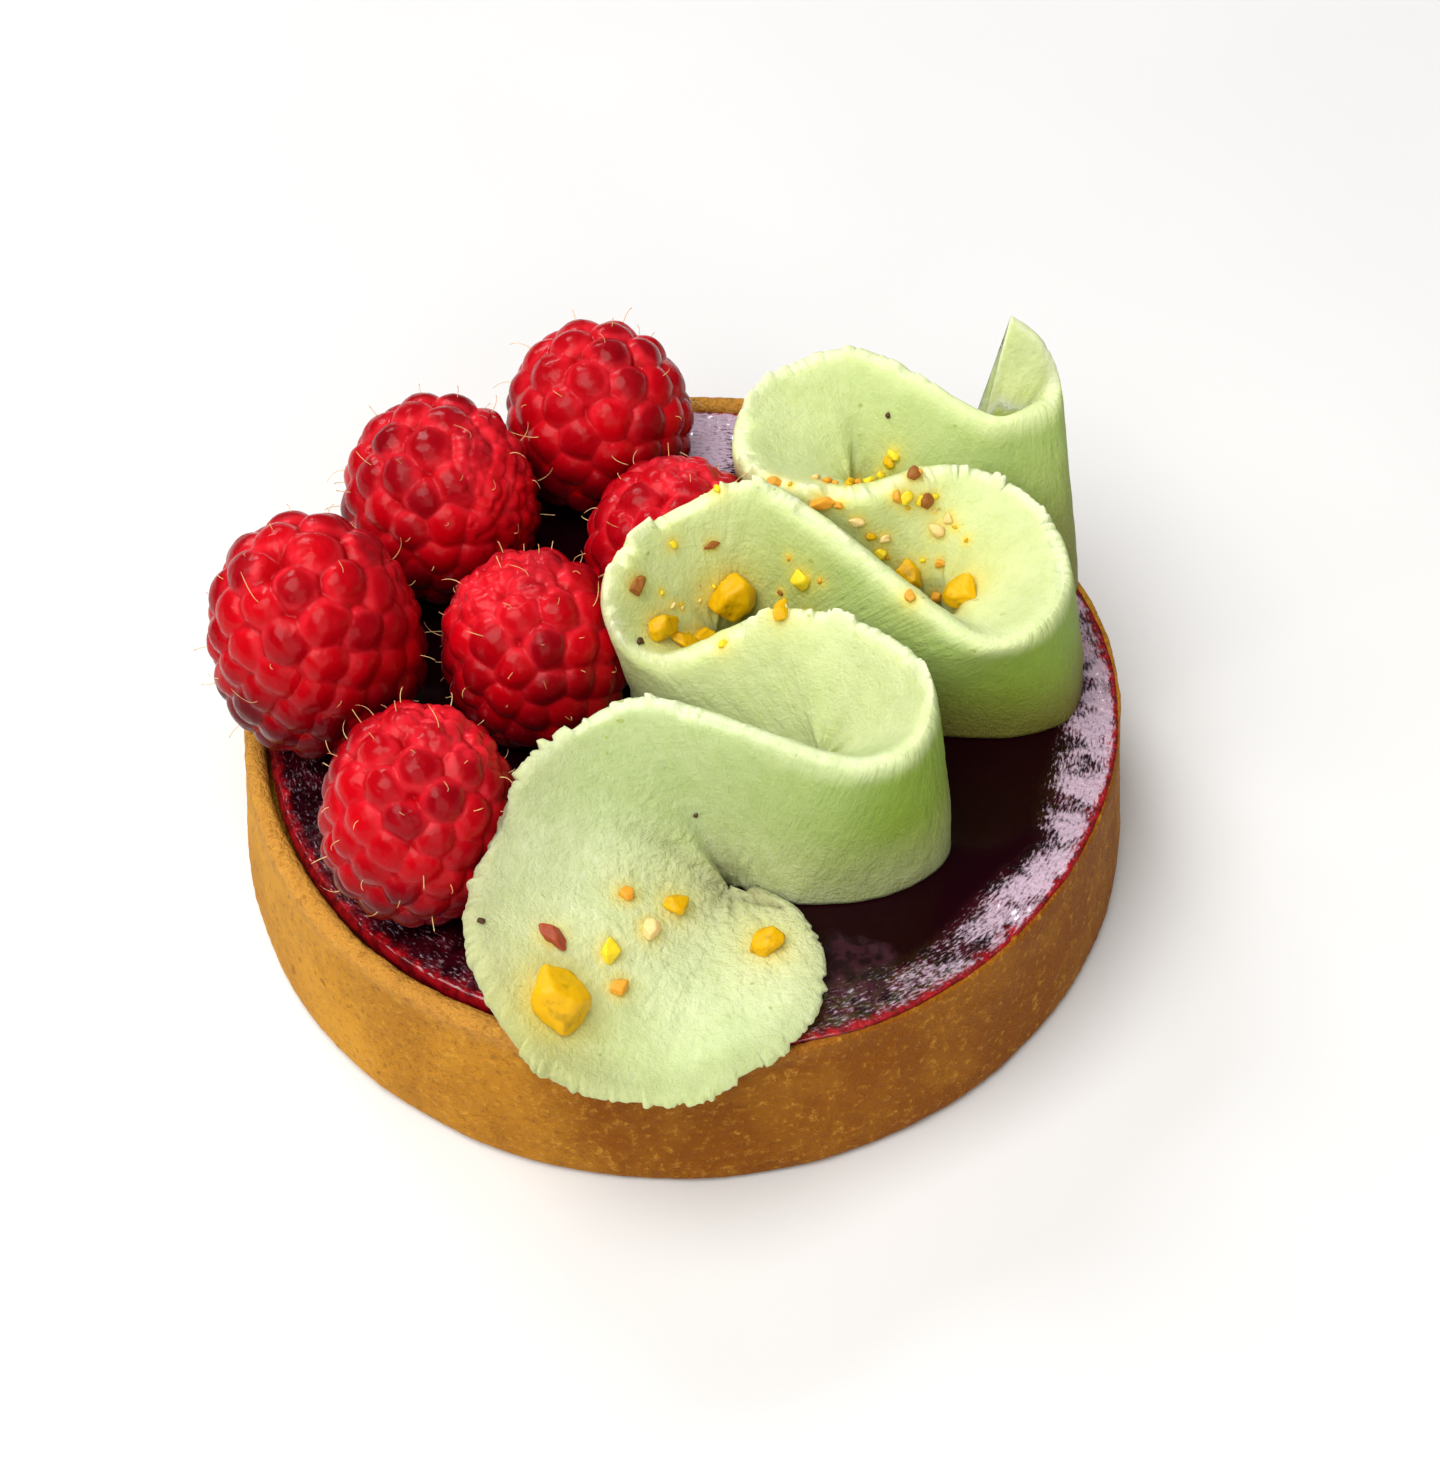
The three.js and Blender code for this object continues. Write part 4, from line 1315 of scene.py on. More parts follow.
@dataclass
class CreamRibbon:
    """One piped ribbon of cream, from the raised tail at the back to the flat flap at the front."""

    berries: list[Raspberry]
    turn_angles: tuple[float, ...] = (90, 50, 15, -20, -55, -90)
    flap_end: tuple[tuple[float, float], ...] = (
        (4.4, -42.5), (9.9, -37.2), (11.6, -30.0), (9.4, -24.8), (6.2, -22.4),
    )
    flap_top: float = 18.7
    degrees_per_place: float = 225.0
    edge_thickness: float = 1.5
    edge_outside: float = 0.25
    edge_rounding: float = 0.4
    step: float = 0.22
    press_gap: float = 0.15
    points_down: tuple[int, ...] = (9, 12, 7, 4, 3)
    smoothing_across: int = 60
    smoothing_of_soft_lip: int = 54
    smoothing_along: int = 8
    tooth: float = 1.3
    torn_step: float = 3.9
    fold_reach: float = 4.5
    # Shares of painted shade: on the outer walls of turns to the left, and in the cups of turns to the
    # right where they face left.
    left_turn_shade: float = 0.05
    painted_cup_shade: float = 0.14
    crease: tuple[tuple[float, float], ...] = (
        (8.4, -24.7), (5.3, -24.1), (2.9, -23.3), (-1.0, -22.0), (-4.4, -21.9), (-7.0, -21.5),
    )
    crease_depth: float = 0.6
    streak_long: float = 0.5
    streak_wide: float = 2.6

    def around(self, triple: Triple, sine: float) -> float:
        """Value at an angle round a turn: its side's, drawn to an end's by sine squared."""
        back, side, front = triple
        return side + ((back if sine > 0 else front) - side) * sine * sine

    def keys(self) -> np.ndarray:
        """Key places along the ribbon, with columns x, y, z, foot, lean x, lean y and place."""
        rows = []
        last = len(TURNS) - 1
        for index, turn in enumerate(TURNS):
            for degrees in self.turn_angles:
                sine, cosine = np.sin(np.radians(degrees)), np.cos(np.radians(degrees))
                x = turn.x + turn.side * turn.reach * cosine + turn.slant * sine
                y = turn.y + turn.half * sine + turn.hang * cosine
                place = np.clip(index - degrees / self.degrees_per_place, 0, last)
                shapes = [self.around(triple, sine) for triple in (turn.top, turn.foot, turn.lean_x)]
                rows.append((x, y, *shapes, turn.lean_y, place))
        for index, (x, y) in enumerate(self.flap_end):
            rows.append((x, y, self.flap_top, TURNS[last].foot[2] / (1 + 0.6 * index), 0, 0, last))
        return np.array(rows, float)

    def run(self) -> np.ndarray:
        """A smooth run through the keys.

        Straight runs between four neighbours are blended twice, at knots spaced by the root of distance.

        Returns:
            Places close together, with the columns of the keys.
        """
        keys = self.keys()
        ends = np.concatenate([[2 * keys[0] - keys[1]], keys, [2 * keys[-1] - keys[-2]]])
        pieces = []
        for k in range(1, len(ends) - 2):
            four = ends[k - 1 : k + 3]
            gaps = np.sqrt(np.linalg.norm(np.diff(four[:, :3], axis=0), axis=1))
            knots = np.concatenate([[0], np.cumsum(gaps)])
            steps = max(2, int(np.ceil(gaps[1] ** 2 / self.step)))
            t = knots[1] + (knots[2] - knots[1]) * np.arange(steps)[:, None] / steps
            runs = [between(four[i], four[i + 1], t, knots[i], knots[i + 1]) for i in range(3)]
            pairs = [between(runs[i], runs[i + 1], t, knots[i], knots[i + 2]) for i in range(2)]
            pieces.append(between(pairs[0], pairs[1], t, knots[1], knots[2]))
        return np.concatenate([*pieces, keys[-1:]])

    def face(self, run: np.ndarray, left: np.ndarray, outward: int) -> np.ndarray:
        """One face of the ribbon at every place of the run, from its edge down to its foot.

        Each row blends an outer wall that runs straight down with a cup that falls to its lowest point.

        Args:
            run: The places, shape (n, 7).
            left: Level directions to the left of the run, shape (n, 2).
            outward: -1 for the right-hand face, 1 for the left-hand one.

        Returns:
            Points of five rows, shape (n, 5, 3).
        """
        x, y, z, foot, lean_x, lean_y, place = run.T
        cups = np.array([index for index, turn in enumerate(TURNS) if turn.side != outward])
        nearest = cups[np.abs(place[:, None] - cups).argmin(axis=1)]
        low = np.array([turn.low for turn in TURNS])[nearest]
        inner = 1 - smooth((np.abs(place - nearest) - 0.3) / 0.55)
        half = self.edge_outside + (self.edge_thickness - 2 * self.edge_outside) * inner
        flat = smooth(place, 4.55, 4.85) * (outward == TURNS[-1].side * -1)
        drop = z - self.edge_rounding * (1 - flat) - REST_Z
        under = half + 0.1 + 0.9 * (foot - half)
        fall = low[:, 2] - REST_Z - drop
        rows = (
            (half, drop, 0.0, 0.0),
            (half + 0.1, drop - np.minimum(1.2, 0.35 * drop), 0.16, 0.12),
            ((half + 0.3 + under) / 2, 0.5 * drop, 0.5, 0.42),
            (under, 0.2 * drop, 1.0, 1.0),
            (foot, 0.0 * drop, 1.0, None),
        )
        edge = np.stack([x, y], axis=1) + outward * left * half[:, None]
        made = []
        for out, high, across, share in rows:
            leaning = (z - REST_Z - high) / (z - REST_Z)
            lean = leaning[:, None] * np.stack([lean_x, lean_y], axis=1)
            wall = np.stack([x, y], axis=1) + outward * left * out[:, None] + lean
            cup = edge + (low[:, :2] - edge) * across
            depth = 0.0 * drop if share is None else drop + fall * share
            level = REST_Z + high + (depth - high) * inner
            made.append(np.column_stack([wall + (cup - wall) * inner[:, None], level]))
        return np.stack(made, axis=1)

    def softness(self, place: np.ndarray) -> np.ndarray:
        """How round the lip is: sharp but for the front of each turn to the right."""
        soft = np.zeros_like(place)
        for index, turn in enumerate(TURNS):
            if turn.side > 0:
                front = smooth(place, index, index + 0.18) * smooth(place, index + 0.56, index + 0.46)
                soft = np.maximum(soft, front)
        return soft

    def sections(self) -> Sections:
        """Smooth cross sections along the run, from the left foot over the edge to the right foot."""
        run = self.run()
        step = np.gradient(run[:, :2], axis=0)
        left = unit(np.stack([-step[:, 1], step[:, 0]], axis=1))
        right_face, left_face = self.face(run, left, -1), self.face(run, left, 1)
        crown = (right_face[:, :1] + left_face[:, :1]) / 2
        crown[:, 0, 2] = run[:, 2]
        outline = np.concatenate([left_face[:, ::-1], crown, right_face], axis=1)
        fine = []
        for span, count in enumerate(self.points_down + self.points_down[::-1]):
            t = (np.arange(count) / count)[None, :, None]
            fine.append(outline[:, span : span + 1] * (1 - t) + outline[:, span + 1 : span + 2] * t)
        points = np.concatenate([*fine, outline[:, -1:]], axis=1)
        top = sum(self.points_down)
        soft = self.softness(run[:, 6])[:, None]
        before = points[:, top].copy()
        for turn in range(self.smoothing_across):
            soft_only = turn >= self.smoothing_across - self.smoothing_of_soft_lip
            strength = 0.5 * (soft[..., None] if soft_only else 1.0)
            middle = (points[:, :-2] + points[:, 2:]) / 2
            points[:, 1:-1] += strength * (middle - points[:, 1:-1])
        for _ in range(self.smoothing_along):
            points[1:-1] += 0.3 * ((points[:-2] + points[2:]) / 2 - points[1:-1])
        gap = np.linalg.norm(np.diff(points, axis=1), axis=2)
        down = np.concatenate([np.zeros((len(points), 1)), np.cumsum(gap, axis=1)], axis=1)
        down = np.abs(down - down[:, top : top + 1])
        lift = before - points[:, top]
        points += lift[:, None] * np.exp(-((down / 3.0) ** 2))[..., None]
        ahead = np.linalg.norm(np.diff(points[:, top], axis=0), axis=1)
        return Sections(points, run[:, 6], top, soft, np.concatenate([[0], np.cumsum(ahead)]), down)

    def teeth(self, length: np.ndarray) -> np.ndarray:
        """Ragged edge: teeth of a millimetre or so, some deeper notches and longer torn steps.

        Args:
            length: Millimetres along the edge.

        Returns:
            Millimetres along the edge's own direction.
        """
        at = np.stack([length, np.zeros_like(length), np.zeros_like(length)], axis=1)
        phase = length / self.tooth + 2.0 * noise(at / 2.9, 71)
        cell = np.floor(phase)
        share = phase - cell
        before, after = (0.6 * (chance(number, 11) - 0.5) for number in (cell, cell + 1))
        steps = before + (after - before) * smooth(share, 0.75, 1.0)
        lobes = 0.5 * (1 - np.abs(2 * share - 1) ** 3) * chance(cell, 13) ** 1.5
        notches = 0.9 * chance(cell, 12) ** 3 * smooth(share, 0.72, 0.9) * smooth(share, 1.0, 0.93)
        torn = 1.1 * (chance(np.floor(length / self.torn_step + noise(at / 9.0, 76)), 33) - 0.5)
        fine = 0.17 * noise(at / 0.6, 72) + 0.12 * noise(at / 0.31, 75)
        return steps + lobes - notches + torn + fine - 0.2

    def tear(self, made: Sections) -> None:
        """Moves the edge up and down along its own direction, so that it looks torn.

        Args:
            made: The sections, whose points are moved.
        """
        points, down, top = made.points, made.down, made.top
        rows = np.arange(len(points))
        below = np.abs(down - 2.5)
        pick_left = below[:, :top].argmin(axis=1)
        pick_right = top + below[:, top:].argmin(axis=1)
        flat = made.after(4.5, 4.8)
        left, right = points[rows, pick_left], points[rows, pick_right]
        direction = unit(points[:, top] - left * (0.5 + 0.5 * flat) - right * (0.5 - 0.5 * flat))
        ragged = self.teeth(made.length)[:, None] * (1.7 - 0.4 * flat) - 0.3 * flat
        to_end = (made.length[-1] - made.length)[:, None]
        ending = 0.15 + 0.85 * smooth(to_end, 3.0, 11.0)
        starting = smooth(made.length, 2, 14)[:, None]
        ragged = np.clip(ragged, -0.7, 0.9) * (1 - made.soft) * starting * ending
        fading = np.where(ragged < 0, 0.75, 0.5) + 1.2 * (made.side > 0) * flat
        shift = ragged * np.exp(-((down / fading) ** 2))
        made.points = points + direction[:, None] * shift[..., None]

    def creased(self, points: np.ndarray) -> tuple[np.ndarray, np.ndarray]:
        """How near places are to the crease that runs from the fold across the flap.

        Args:
            points: Places, shape (..., 3).

        Returns:
            Millimetres from the crease, and its strength from 1 at its start to 0 at its end.
        """
        line = np.array(self.crease)
        best = np.full(points.shape[:-1], 1e3)
        along = np.zeros(points.shape[:-1])
        for number, (start, end) in enumerate(zip(line[:-1], line[1:])):
            step = end - start
            share = np.clip((points[..., :2] - start) @ step / (step @ step), 0, 1)
            away = np.linalg.norm(points[..., :2] - start - share[..., None] * step, axis=-1)
            along = np.where(away < best, (number + share) / (len(line) - 1), along)
            best = np.minimum(best, away)
        return best, 1 - along

    def gathers(self, made: Sections) -> np.ndarray:
        """Folds that meet at the lowest place of each cup, in millimetres along the normal."""
        total = np.zeros(made.down.shape)
        for number, turn in enumerate(TURNS):
            away = made.points - turn.low
            far = np.linalg.norm(away, axis=-1)
            level = away[..., :2] / far[..., None] * 3.1
            around = np.concatenate([level, np.full_like(far, number * 5.0)[..., None]], axis=-1)
            folds = noise(around.reshape(-1, 3), 87).reshape(far.shape)
            reach = smooth(far, 0.3, 1.6) * np.exp(-((far / 4.0) ** 2))
            total += 0.4 * folds * reach * smooth(np.abs(made.place - number), 0.85, 0.5)[:, None]
        return total

    def heave(self, made: Sections, on_flap: np.ndarray) -> np.ndarray:
        """Ripples along the walls, a lumpy skin, a curling lip, the folds in the cups and the crease.

        Args:
            made: The sections.
            on_flap: How strong the crease is at each place.

        Returns:
            Millimetres along the normal, shape (n, m).
        """
        shape, down, side = made.down.shape, made.down, made.side
        along = made.length[:, None] + 0 * down
        grid = np.stack([along, down, side * 40.0], axis=-1).reshape(-1, 3)
        apart = np.linalg.norm(np.gradient(made.points, axis=0), axis=-1)
        spread = smooth(apart / np.maximum(apart[:, made.top : made.top + 1], 1e-6), 0.2, 0.65)
        fine = noise(grid * (1 / 0.9, 1 / 2.4, 1.0), 81) * 0.04
        ripple = (fine + noise(grid * (1 / 2.2, 1 / 6.0, 1.0), 82) * 0.1).reshape(shape)
        spot = made.points.reshape(-1, 3)
        peel = (noise(spot / 1.1, 83) * 0.035 + 0.06 * noise(spot / 3.6, 84)).reshape(shape)
        edge = np.stack([made.length / 2.9, 0 * made.length, 0 * made.length], axis=1)
        curl = noise(edge, 85)[:, None] * 0.12 * side * np.exp(-((down / 1.8) ** 2)) * (1 - made.soft)
        near, _ = self.creased(made.points)
        crease = self.crease_depth * on_flap * np.exp(-((near / 0.42) ** 2))
        skin = ripple * smooth(down, 0.3, 1.5) * spread + peel + curl
        return skin + self.gathers(made) * (side != 0) - crease

    def surface(self) -> Surface:
        """The whole ribbon, with its torn edge, its relief, room for the raspberries and its tones,
        painted shade and painted highlight among them.
        """
        made = self.sections()
        self.tear(made)
        _, strength = self.creased(made.points)
        on_flap = strength * (made.side < 0) * made.after(4.5, 4.7)
        normal = unit(np.cross(np.gradient(made.points, axis=1), np.gradient(made.points, axis=0)))
        points = made.points + normal * self.heave(made, on_flap)[..., None]
        flat = points.reshape(-1, 3)
        for berry in self.berries:
            flat = self.pressed(flat, berry)
        flat[:, 2] = np.maximum(flat[:, 2], REST_Z)
        made.points = flat.reshape(points.shape)
        body = closed_rings(made.points)
        tones = self.tones(made, normal, on_flap)
        body.values = {key: np.append(value + 0 * made.down, [0.0, 0.0]) for key, value in tones.items()}
        along = made.length[:, None] / self.streak_long + 0 * made.down
        grid = np.stack([along, made.down / self.streak_wide], axis=-1)
        body.uv = np.concatenate([grid.reshape(-1, 2), np.zeros((2, 2))])
        return body

    def tones(self, made: Sections, normal: np.ndarray, on_flap: np.ndarray) -> dict[str, np.ndarray]:
        """How much of each tone the cream has at each place, from 0 to 1: painted shade, painted
        highlight, a warm tone and the strength of the brushed and leathery relief.

        Args:
            made: The finished sections.
            normal: Directions away from the cream, shape (n, m, 3).
            on_flap: How strong the crease is at each place.

        Returns:
            Weights by the attribute's name.
        """
        points, down = made.points, made.down
        share = down / np.maximum(down[:, :1], down[:, -1:])
        outer, cups = self.sides(made)
        last_turn = made.after(3.2, 3.8)
        flap = made.after(4.6, 4.95)
        from_fold = np.linalg.norm(points - TURNS[-1].low, axis=2)
        from_crease, _ = self.creased(points)
        leather = np.exp(-((from_fold / 13.0) ** 2)) * made.after(4.5, 4.75)
        fold = np.exp(-((from_fold / self.fold_reach) ** 2)) * made.after(4.35, 4.6)
        left = smooth(points[..., 0], -3.0, -13.0) * made.after(4.1, 4.5)
        verge = smooth(down, 4.0, 0.5) * flap
        # Painted shade as an olive grey: low on the outer walls, at the foot of the last turn's wall,
        # round the fold and to the left of it, along the flap's verge, over the leathery patch, along the
        # crease, and in the right turns' cups where they face left.
        painted_shades = (
            outer * smooth(share, 0.15, 0.8) * (1 - 0.6 * last_turn),
            0.5 * outer * last_turn * smooth(share, 0.8, 1.0),
            0.65 * fold + 0.22 * left + 0.22 * verge,
            0.22 * leather,
            0.75 * np.exp(-((from_crease / 0.9) ** 2)) * on_flap,
            self.painted_cup_shade * cups * smooth(-normal[..., 0], 0.0, 0.8),
        )
        front = made.after(4.15, 4.4) * made.after(4.95, 4.65)
        # Painted shade as a deeper green: under the lips of the outer walls, on the front of the flap,
        # and high on the last turn's front wall.
        painted_green_shades = (
            outer * smooth(down, 0.3, 2.4) * (1 - (0.25 + 0.6 * last_turn) * smooth(share, 0.35, 0.9)),
            0.35 * smooth(points[..., 1], -31.0, -42.0) * made.after(4.6, 4.9),
            0.4 * front * smooth(points[..., 2], 20.5, 24.0) * smooth(down, 0.3, 1.5),
        )
        # Painted highlight: a pale line along the sharp edges, and a paler flap.
        rim = smooth(down, 0.9, 0.3) * made.after(4.9, 4.5) * (1 - 0.8 * made.soft)
        brushed = (0.15 + 0.85 * outer) * made.after(4.97, 4.6) + 0.1
        return {
            "under_lip": np.maximum.reduce(painted_green_shades),
            "low": np.maximum.reduce(painted_shades),
            "rim": np.maximum(rim, 0.3 * flap),
            "brushed": brushed * smooth(made.length, 2.0, 9.0)[:, None],
            "leather": leather,
            "warm": 0.3 * made.after(4.6, 4.0),
        }

    def sides(self, made: Sections) -> tuple[np.ndarray, np.ndarray]:
        """Which points are on the outside of a turn, and which in the cup of a turn to the right.

        Args:
            made: The sections.

        Returns:
            Two weights from 0 to 1, shape (n, m).
        """
        outer, cup = np.zeros(made.down.shape), np.zeros(made.down.shape)
        left, right = slice(0, made.top), slice(made.top + 1, None)
        for outward, part, share in ((1, left, 1.0), (-1, right, self.left_turn_shade)):
            cups = np.array([index for index, turn in enumerate(TURNS) if turn.side != outward])
            away = np.abs(made.place[:, None] - cups).min(axis=1)
            fade = 1 - 0.3 * smooth(made.place, 1.1, 0.5)
            outer[:, part] = share * (smooth(away, 0.25, 0.75) * fade)[:, None]
            if outward < 0:
                cup[:, part] = smooth(away, 0.7, 0.2)[:, None]
        return outer, cup

    def pressed(self, points: np.ndarray, berry: Raspberry) -> np.ndarray:
        """Moves points that lie inside a raspberry out to its outer form and a little beyond.

        Args:
            points: Places, shape (n, 3).
            berry: The raspberry that the cream was piped against.

        Returns:
            The moved points.
        """
        turn = berry.turn()
        local = (points - berry.middle()) @ turn
        direction = unit(local)
        reach = np.linalg.norm(berry.form(direction), axis=1) + self.press_gap
        far = np.linalg.norm(local, axis=1)
        inside = far < reach
        local[inside] = direction[inside] * reach[inside, None]
        return turned(local, turn) + berry.middle()

    def stained(self, made: Surface, spots: list[tuple[np.ndarray, float]]) -> None:
        """Adds the yellow stain round each nut piece.

        Args:
            made: The ribbon's surface.
            spots: Places of the nut pieces and their sizes.
        """
        stain = np.zeros(len(made.points))
        for middle, size in spots:
            away = np.linalg.norm(made.points - middle, axis=1)
            near = 0.7 * np.exp(-((away / (0.5 * size + 0.35)) ** 2))
            far = 0.16 * np.exp(-((away / (1.3 * size + 1.2)) ** 2))
            stain = np.maximum(stain, near + far)
        made.values["stain"] = stain

    def build(self) -> None:
        """Makes the ribbon and its nut pieces in place of the plain solid."""
        made = self.surface()
        corners = [tuple(int(n) for n in quad) for quad in made.quads]
        tree = BVHTree.FromPolygons([Vector(point) for point in made.points], corners)
        nuts = NutPieces(tree)
        self.stained(made, nuts.spots())
        ribbon = made.piece("cream", PistachioCream().material())
        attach(ribbon, "root")
        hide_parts("cream_ribbon")
        nuts.build()


@dataclass
class NutPieces:
    """Chipped pieces of roasted nut lying on the cream."""

    tree: BVHTree
    facets: int = 11
    small: float = 2.7
    small_facets: int = 8
    flatness: float = 0.75
    sunk: float = 0.2
    edge: float = 12.0
    finer_from: tuple[float, ...] = (0.8, 1.7, 2.5)
    crumb_kinds: tuple[NutKind, ...] = (
        NutKind.AMBER, NutKind.YELLOW, NutKind.ORANGE, NutKind.BEIGE, NutKind.AMBER,
    )
    clusters: tuple[tuple[float, float, float, int], ...] = (
        (2.6, 3.2, 4.6, 16),
        (22.8, 7.6, 4.2, 16),
        (20.0, 11.5, 4.0, 10),
        (13.5, 11.5, 3.2, 8),
        (11.3, 2.8, 2.6, 6),
        (19.0, 20.5, 2.4, 6),
    )

    def __post_init__(self) -> None:
        """Scatters small crumbs round the clusters of larger pieces, with repeatable numbers."""
        crumbs = []
        for cluster, (x, y, reach, count) in enumerate(self.clusters):
            index = np.arange(count)
            far = reach * np.sqrt(chance(index, 401 + cluster))
            turn = 2 * np.pi * chance(index, 421 + cluster)
            size = 0.3 + 0.7 * chance(index, 441 + cluster) ** 2
            pick = (len(self.crumb_kinds) * chance(index, 461 + cluster)).astype(int)
            rows = zip(pick, x + far * np.cos(turn), y + far * np.sin(turn), size * 1.4, size)
            for kind, *measures in rows:
                crumbs.append(Nut(self.crumb_kinds[kind], *map(float, measures)))
        self.nuts = [nut for nut in (*NUTS, *crumbs) if self.on_cream(nut)]
        LOG.info("nuts: %d of %d places lie over cream", len(self.nuts), len(NUTS) + len(crumbs))

    def on_cream(self, nut: Nut) -> bool:
        """Whether there is cream under the place of a piece."""
        return self.tree.ray_cast(Vector((nut.x, nut.y, 100)), Vector((0, 0, -1)))[0] is not None

    def hit(self, nut: Nut) -> tuple[np.ndarray, np.ndarray]:
        """Where a vertical line first meets the cream from above, and the cream's normal there."""
        place, normal, _, _ = self.tree.ray_cast(Vector((nut.x, nut.y, 100)), Vector((0, 0, -1)))
        normal = np.array(normal)
        return np.array(place), normal * np.sign(normal[2])

    def spots(self) -> list[tuple[np.ndarray, float]]:
        """The place and the size of each piece that stains the cream."""
        return [(self.hit(nut)[0], nut.wide) for nut in self.nuts if nut.kind is not NutKind.DARK]

    def chip(self, nut: Nut, index: int, directions: np.ndarray) -> np.ndarray:
        """A chipped form: flat cuts at random slopes, joined by softened edges.

        The reach in a direction is a soft minimum over the cuts, (sum((n.d / h)^p))^(-1/p), with p the
        sharpness of the edges.

        Args:
            nut: The piece.
            index: Its number, which chooses its cuts.
            directions: Directions evenly over a sphere.

        Returns:
            Points, shape (n, 3).
        """
        count = self.facets if nut.long > self.small else self.small_facets
        corner = np.arange(count)
        height = 1 - 2 * (corner + 0.5) / count
        turn = corner * 2.399963 + 6.28 * chance(index, 301)
        flat = np.sqrt(1 - height**2)
        cuts = np.stack([flat * np.cos(turn), flat * np.sin(turn), height], axis=1)
        nudge = [chance(corner + 40 * index, 302 + axis) - 0.5 for axis in range(3)]
        cuts = unit(cuts + 0.6 * np.stack(nudge, axis=1))
        depth = 0.72 + 0.28 * chance(corner + 40 * index, 306)
        facing = np.maximum(directions @ cuts.T, 1e-3) / depth
        reach = (facing**self.edge).sum(axis=1) ** (-1 / self.edge)
        reach = np.minimum(reach, 1.25) + 0.07 * layered(directions + 7.0 * index, 0.8, 3, 91)
        thick = nut.wide * self.flatness
        shape = directions * reach[:, None] * (nut.long / 2, nut.wide / 2, thick / 2)
        place, normal = self.hit(nut)
        up = Vector((0, 0, 1)).rotation_difference(Vector(normal)).to_matrix()
        angle = float(chance(index, 99)) * np.pi if nut.turn is None else np.radians(nut.turn)
        spin = Matrix.Rotation(angle, 3, "Z")
        return turned(shape, np.array(up @ spin)) + place + normal * thick * (0.5 - self.sunk)

    def levels(self, nut: Nut) -> int:
        """How finely a piece is divided: the longer, the finer."""
        return 2 + sum(nut.long > longer for longer in self.finer_from)

    def build(self) -> None:
        """Makes one piece for each sort of nut."""
        for kind in NutKind:
            chosen = [(index, nut) for index, nut in enumerate(self.nuts) if nut.kind is kind]
            points, triangles, start = [], [], 0
            for index, nut in chosen:
                directions, faces = sphere_directions(self.levels(nut))
                points.append(self.chip(nut, index, directions))
                triangles.append(faces + start)
                start += len(directions)
            made = Surface(np.concatenate(points), np.zeros((0, 4), int), np.concatenate(triangles))
            nuts = made.piece(f"nuts_{kind.name.lower()}", RoastedNut(kind).material())
            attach(nuts, "root")
            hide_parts("cream_ribbon")
            LOG.info("nuts %s: %d pieces", kind.name.lower(), len(chosen))


# Studio


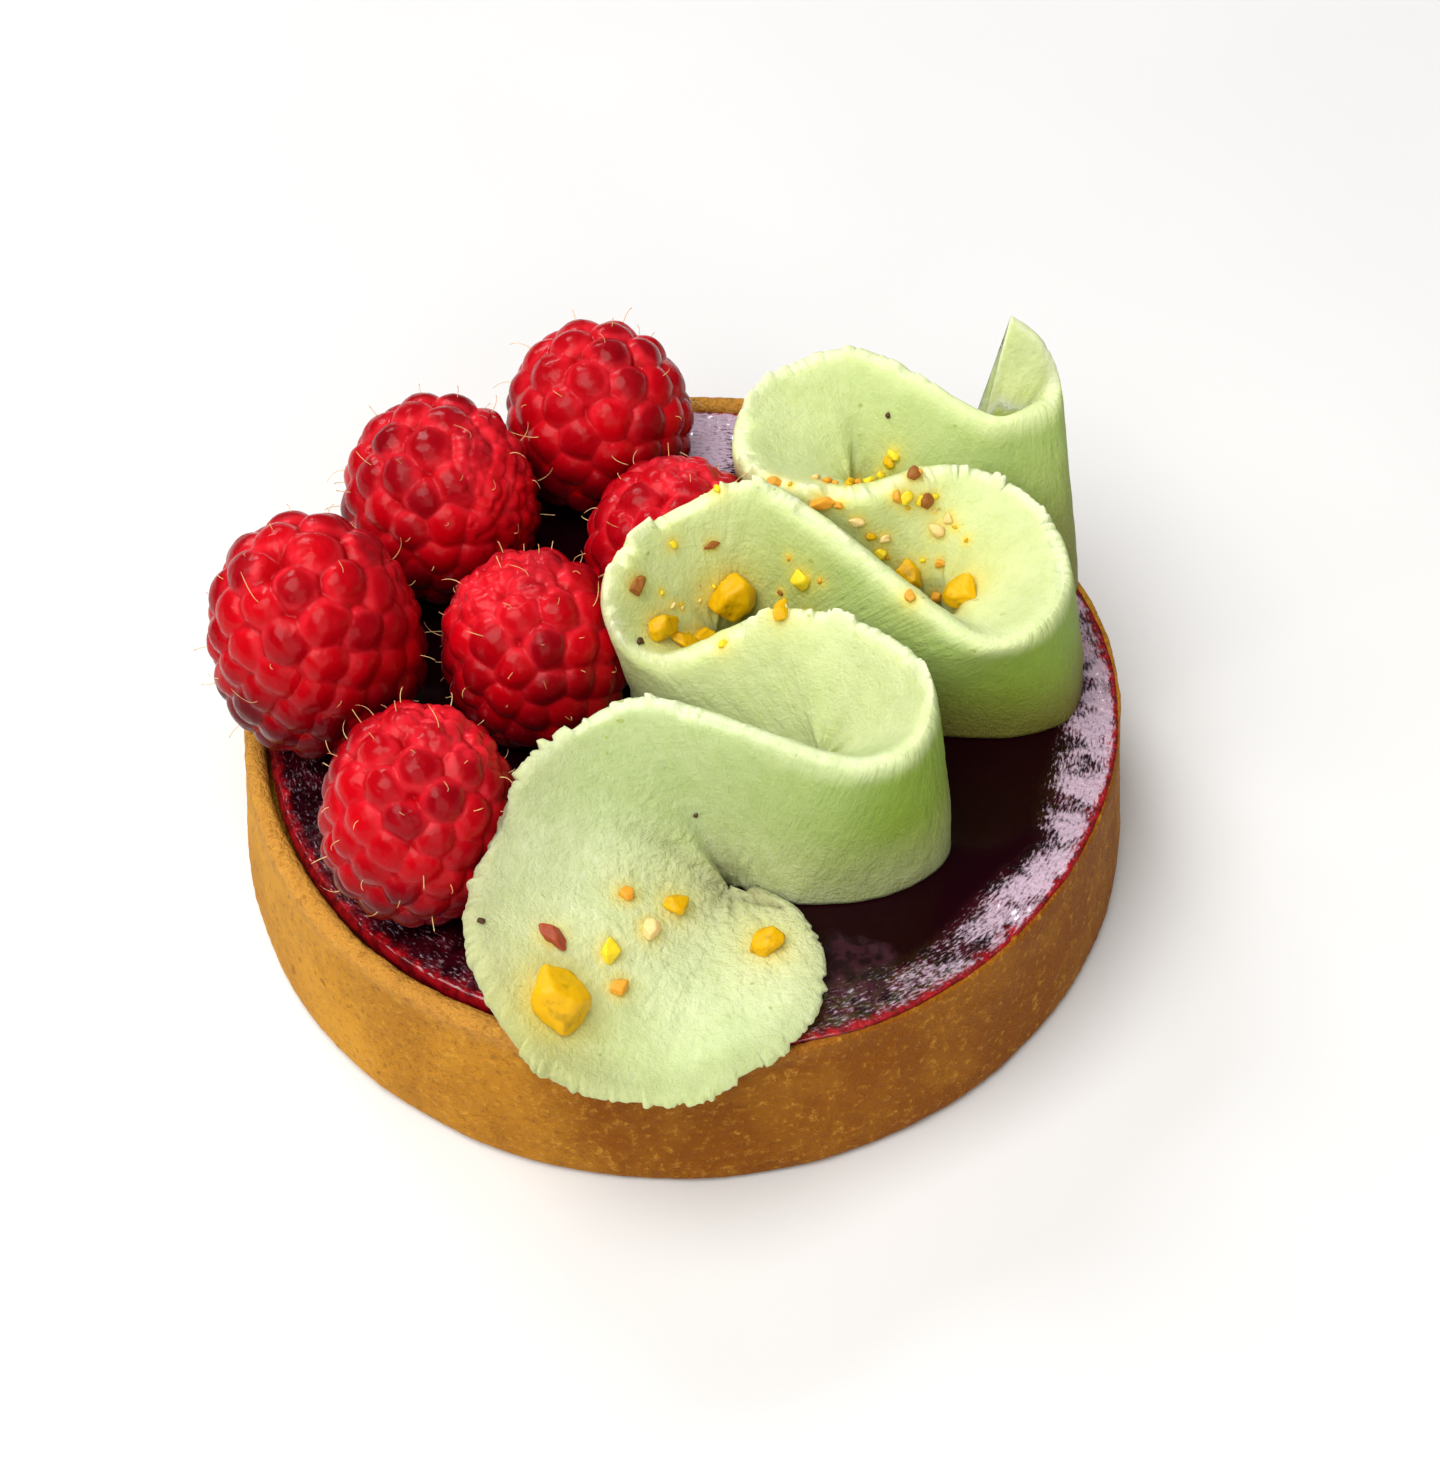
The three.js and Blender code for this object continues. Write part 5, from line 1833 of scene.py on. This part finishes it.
@dataclass
class Studio:
    """Pale floor, soft lights and the camera at the photograph's angle."""

    elevation: float = 50.337
    roll: float = -1.6915
    distance: float = 329.23
    across: float = 3.536
    upward: float = 1.557
    aim_height: float = 10.0
    lens: float = 86.99
    floor_reach: float = 1500.0

    def camera(self) -> None:
        """Places the camera: it looks from the front and above, with a slight roll."""
        e, roll = np.radians(self.elevation), np.radians(self.roll)
        back = np.array([0, -np.cos(e), np.sin(e)])
        level, rise = np.array([1.0, 0, 0]), np.array([0, np.sin(e), np.cos(e)])
        right = np.cos(roll) * level + np.sin(roll) * rise
        up = -np.sin(roll) * level + np.cos(roll) * rise
        aside = right * self.across + up * self.upward
        eye = np.array([0, 0, self.aim_height]) + back * self.distance + aside
        data = bpy.data.cameras.new("camera")
        data.lens = self.lens
        data.sensor_width = 36.0
        data.clip_start = 0.01
        thing = bpy.data.objects.new("camera", data)
        matrix = Matrix.Identity(4)
        for row in range(3):
            matrix[row] = (right[row], up[row], back[row], eye[row] * MILLIMETRE)
        thing.matrix_world = matrix
        bpy.context.scene.collection.objects.link(thing)
        bpy.context.scene.camera = thing

    def light(
        self, name: str, place: Triple, size: tuple[float, float], watts: float, colour: Colour
    ) -> None:
        """Adds a soft box that faces the tart.

        Args:
            name: Its name.
            place: Where it hangs, in metres.
            size: Its width and height in metres.
            watts: Its power.
            colour: Its colour.
        """
        data = bpy.data.lights.new(name, "AREA")
        data.shape = "RECTANGLE"
        data.size, data.size_y = size
        data.energy = watts
        data.color = colour
        thing = bpy.data.objects.new(name, data)
        thing.location = place
        aim = Vector((0, 0, 0.015)) - Vector(place)
        thing.rotation_euler = aim.to_track_quat("-Z", "Y").to_euler()
        bpy.context.scene.collection.objects.link(thing)

    def world(self) -> None:
        """An even, dim and slightly cool surround."""
        world = bpy.data.worlds.new("surround")
        world.use_nodes = True
        bpy.context.scene.world = world
        background = world.node_tree.nodes["Background"]
        background.inputs["Color"].default_value = (0.95, 0.95, 1.0, 1.0)
        background.inputs["Strength"].default_value = 0.12

    def floor(self) -> None:
        """A wide pale floor just under the tart."""
        s = Shader("floor")
        tone = s.blend(s.grain(60.0, 2.0).ramp(0.3, 0.7), (0.72, 0.72, 0.72), (0.74, 0.74, 0.74))
        s.dress(Base_Color=tone, Roughness=0.9, Specular_IOR_Level=0.1)
        corners = np.array([[-1, -1, 0], [1, -1, 0], [1, 1, 0], [-1, 1, 0]]) * self.floor_reach
        floor = Surface(corners, np.array([[0, 1, 2, 3]])).piece("floor", s.material)

    def build(self) -> None:
        """Sets the studio up."""
        self.camera()
        self.world()
        self.floor()
        self.light("window", (-0.34, 0.62, 0.62), (0.36, 0.22), 3.0, (0.96, 0.97, 1.0))
        self.light("key", (-0.22, -0.18, 0.70), (0.64, 0.64), 7.6, (1.0, 0.98, 0.95))
        self.light("fill", (0.12, -0.74, 0.38), (0.7, 0.7), 2.6, (1.0, 0.97, 0.9))
        view = bpy.context.scene.view_settings
        view.view_transform = "Standard"
        view.look = "None"


def main() -> None:
    """Builds the tart and the studio round it."""
    Studio().build()
    case = PastryCase()
    LOG.info("pastry case: %d faces", len(case.build().data.polygons))
    LOG.info("jelly: %d faces", len(Jelly(case).build().data.polygons))
    berries = [
        Raspberry(1, -32.0, -0.2, 9.8, 23.6, 4, 150, 96, (0.9, 0.35, 0.3), 0.22, 26),
        Raspberry(2, -21.6, 18.0, 9.4, 19.4, 7, 110, 86, (0.85, -0.3, 0.45), 0.4, 40),
        Raspberry(3, -7.0, 29.0, 9.1, 17.9, 4, 170, 72, hairs=26),
        Raspberry(4, -12.6, 0.9, 8.7, 17.0, 8, 170, 84, (-0.15, 0.25, 1.0), 0.3, 44, 0.8, 0.32),
        Raspberry(5, 0.0, 12.9, 8.6, 16.0, 4, 30, 76, (0.2, 0.4, 1.0), 0.2, 30),
        Raspberry(6, -22.5, -19.6, 8.8, 20.2, 9, 60, 88, (0.45, 0.35, 0.9), 0.3, 40),
    ]
    directions, triangles = sphere_directions(7)
    skin, straw = RaspberrySkin().material(), BerryHair().material()
    for berry in berries:
        berry.build(directions, triangles, skin, straw)
        LOG.info("raspberry %d", berry.number)
    CreamRibbon(berries).build()
    LOG.info("cream and nuts")


if __name__ == "__main__":
    main()
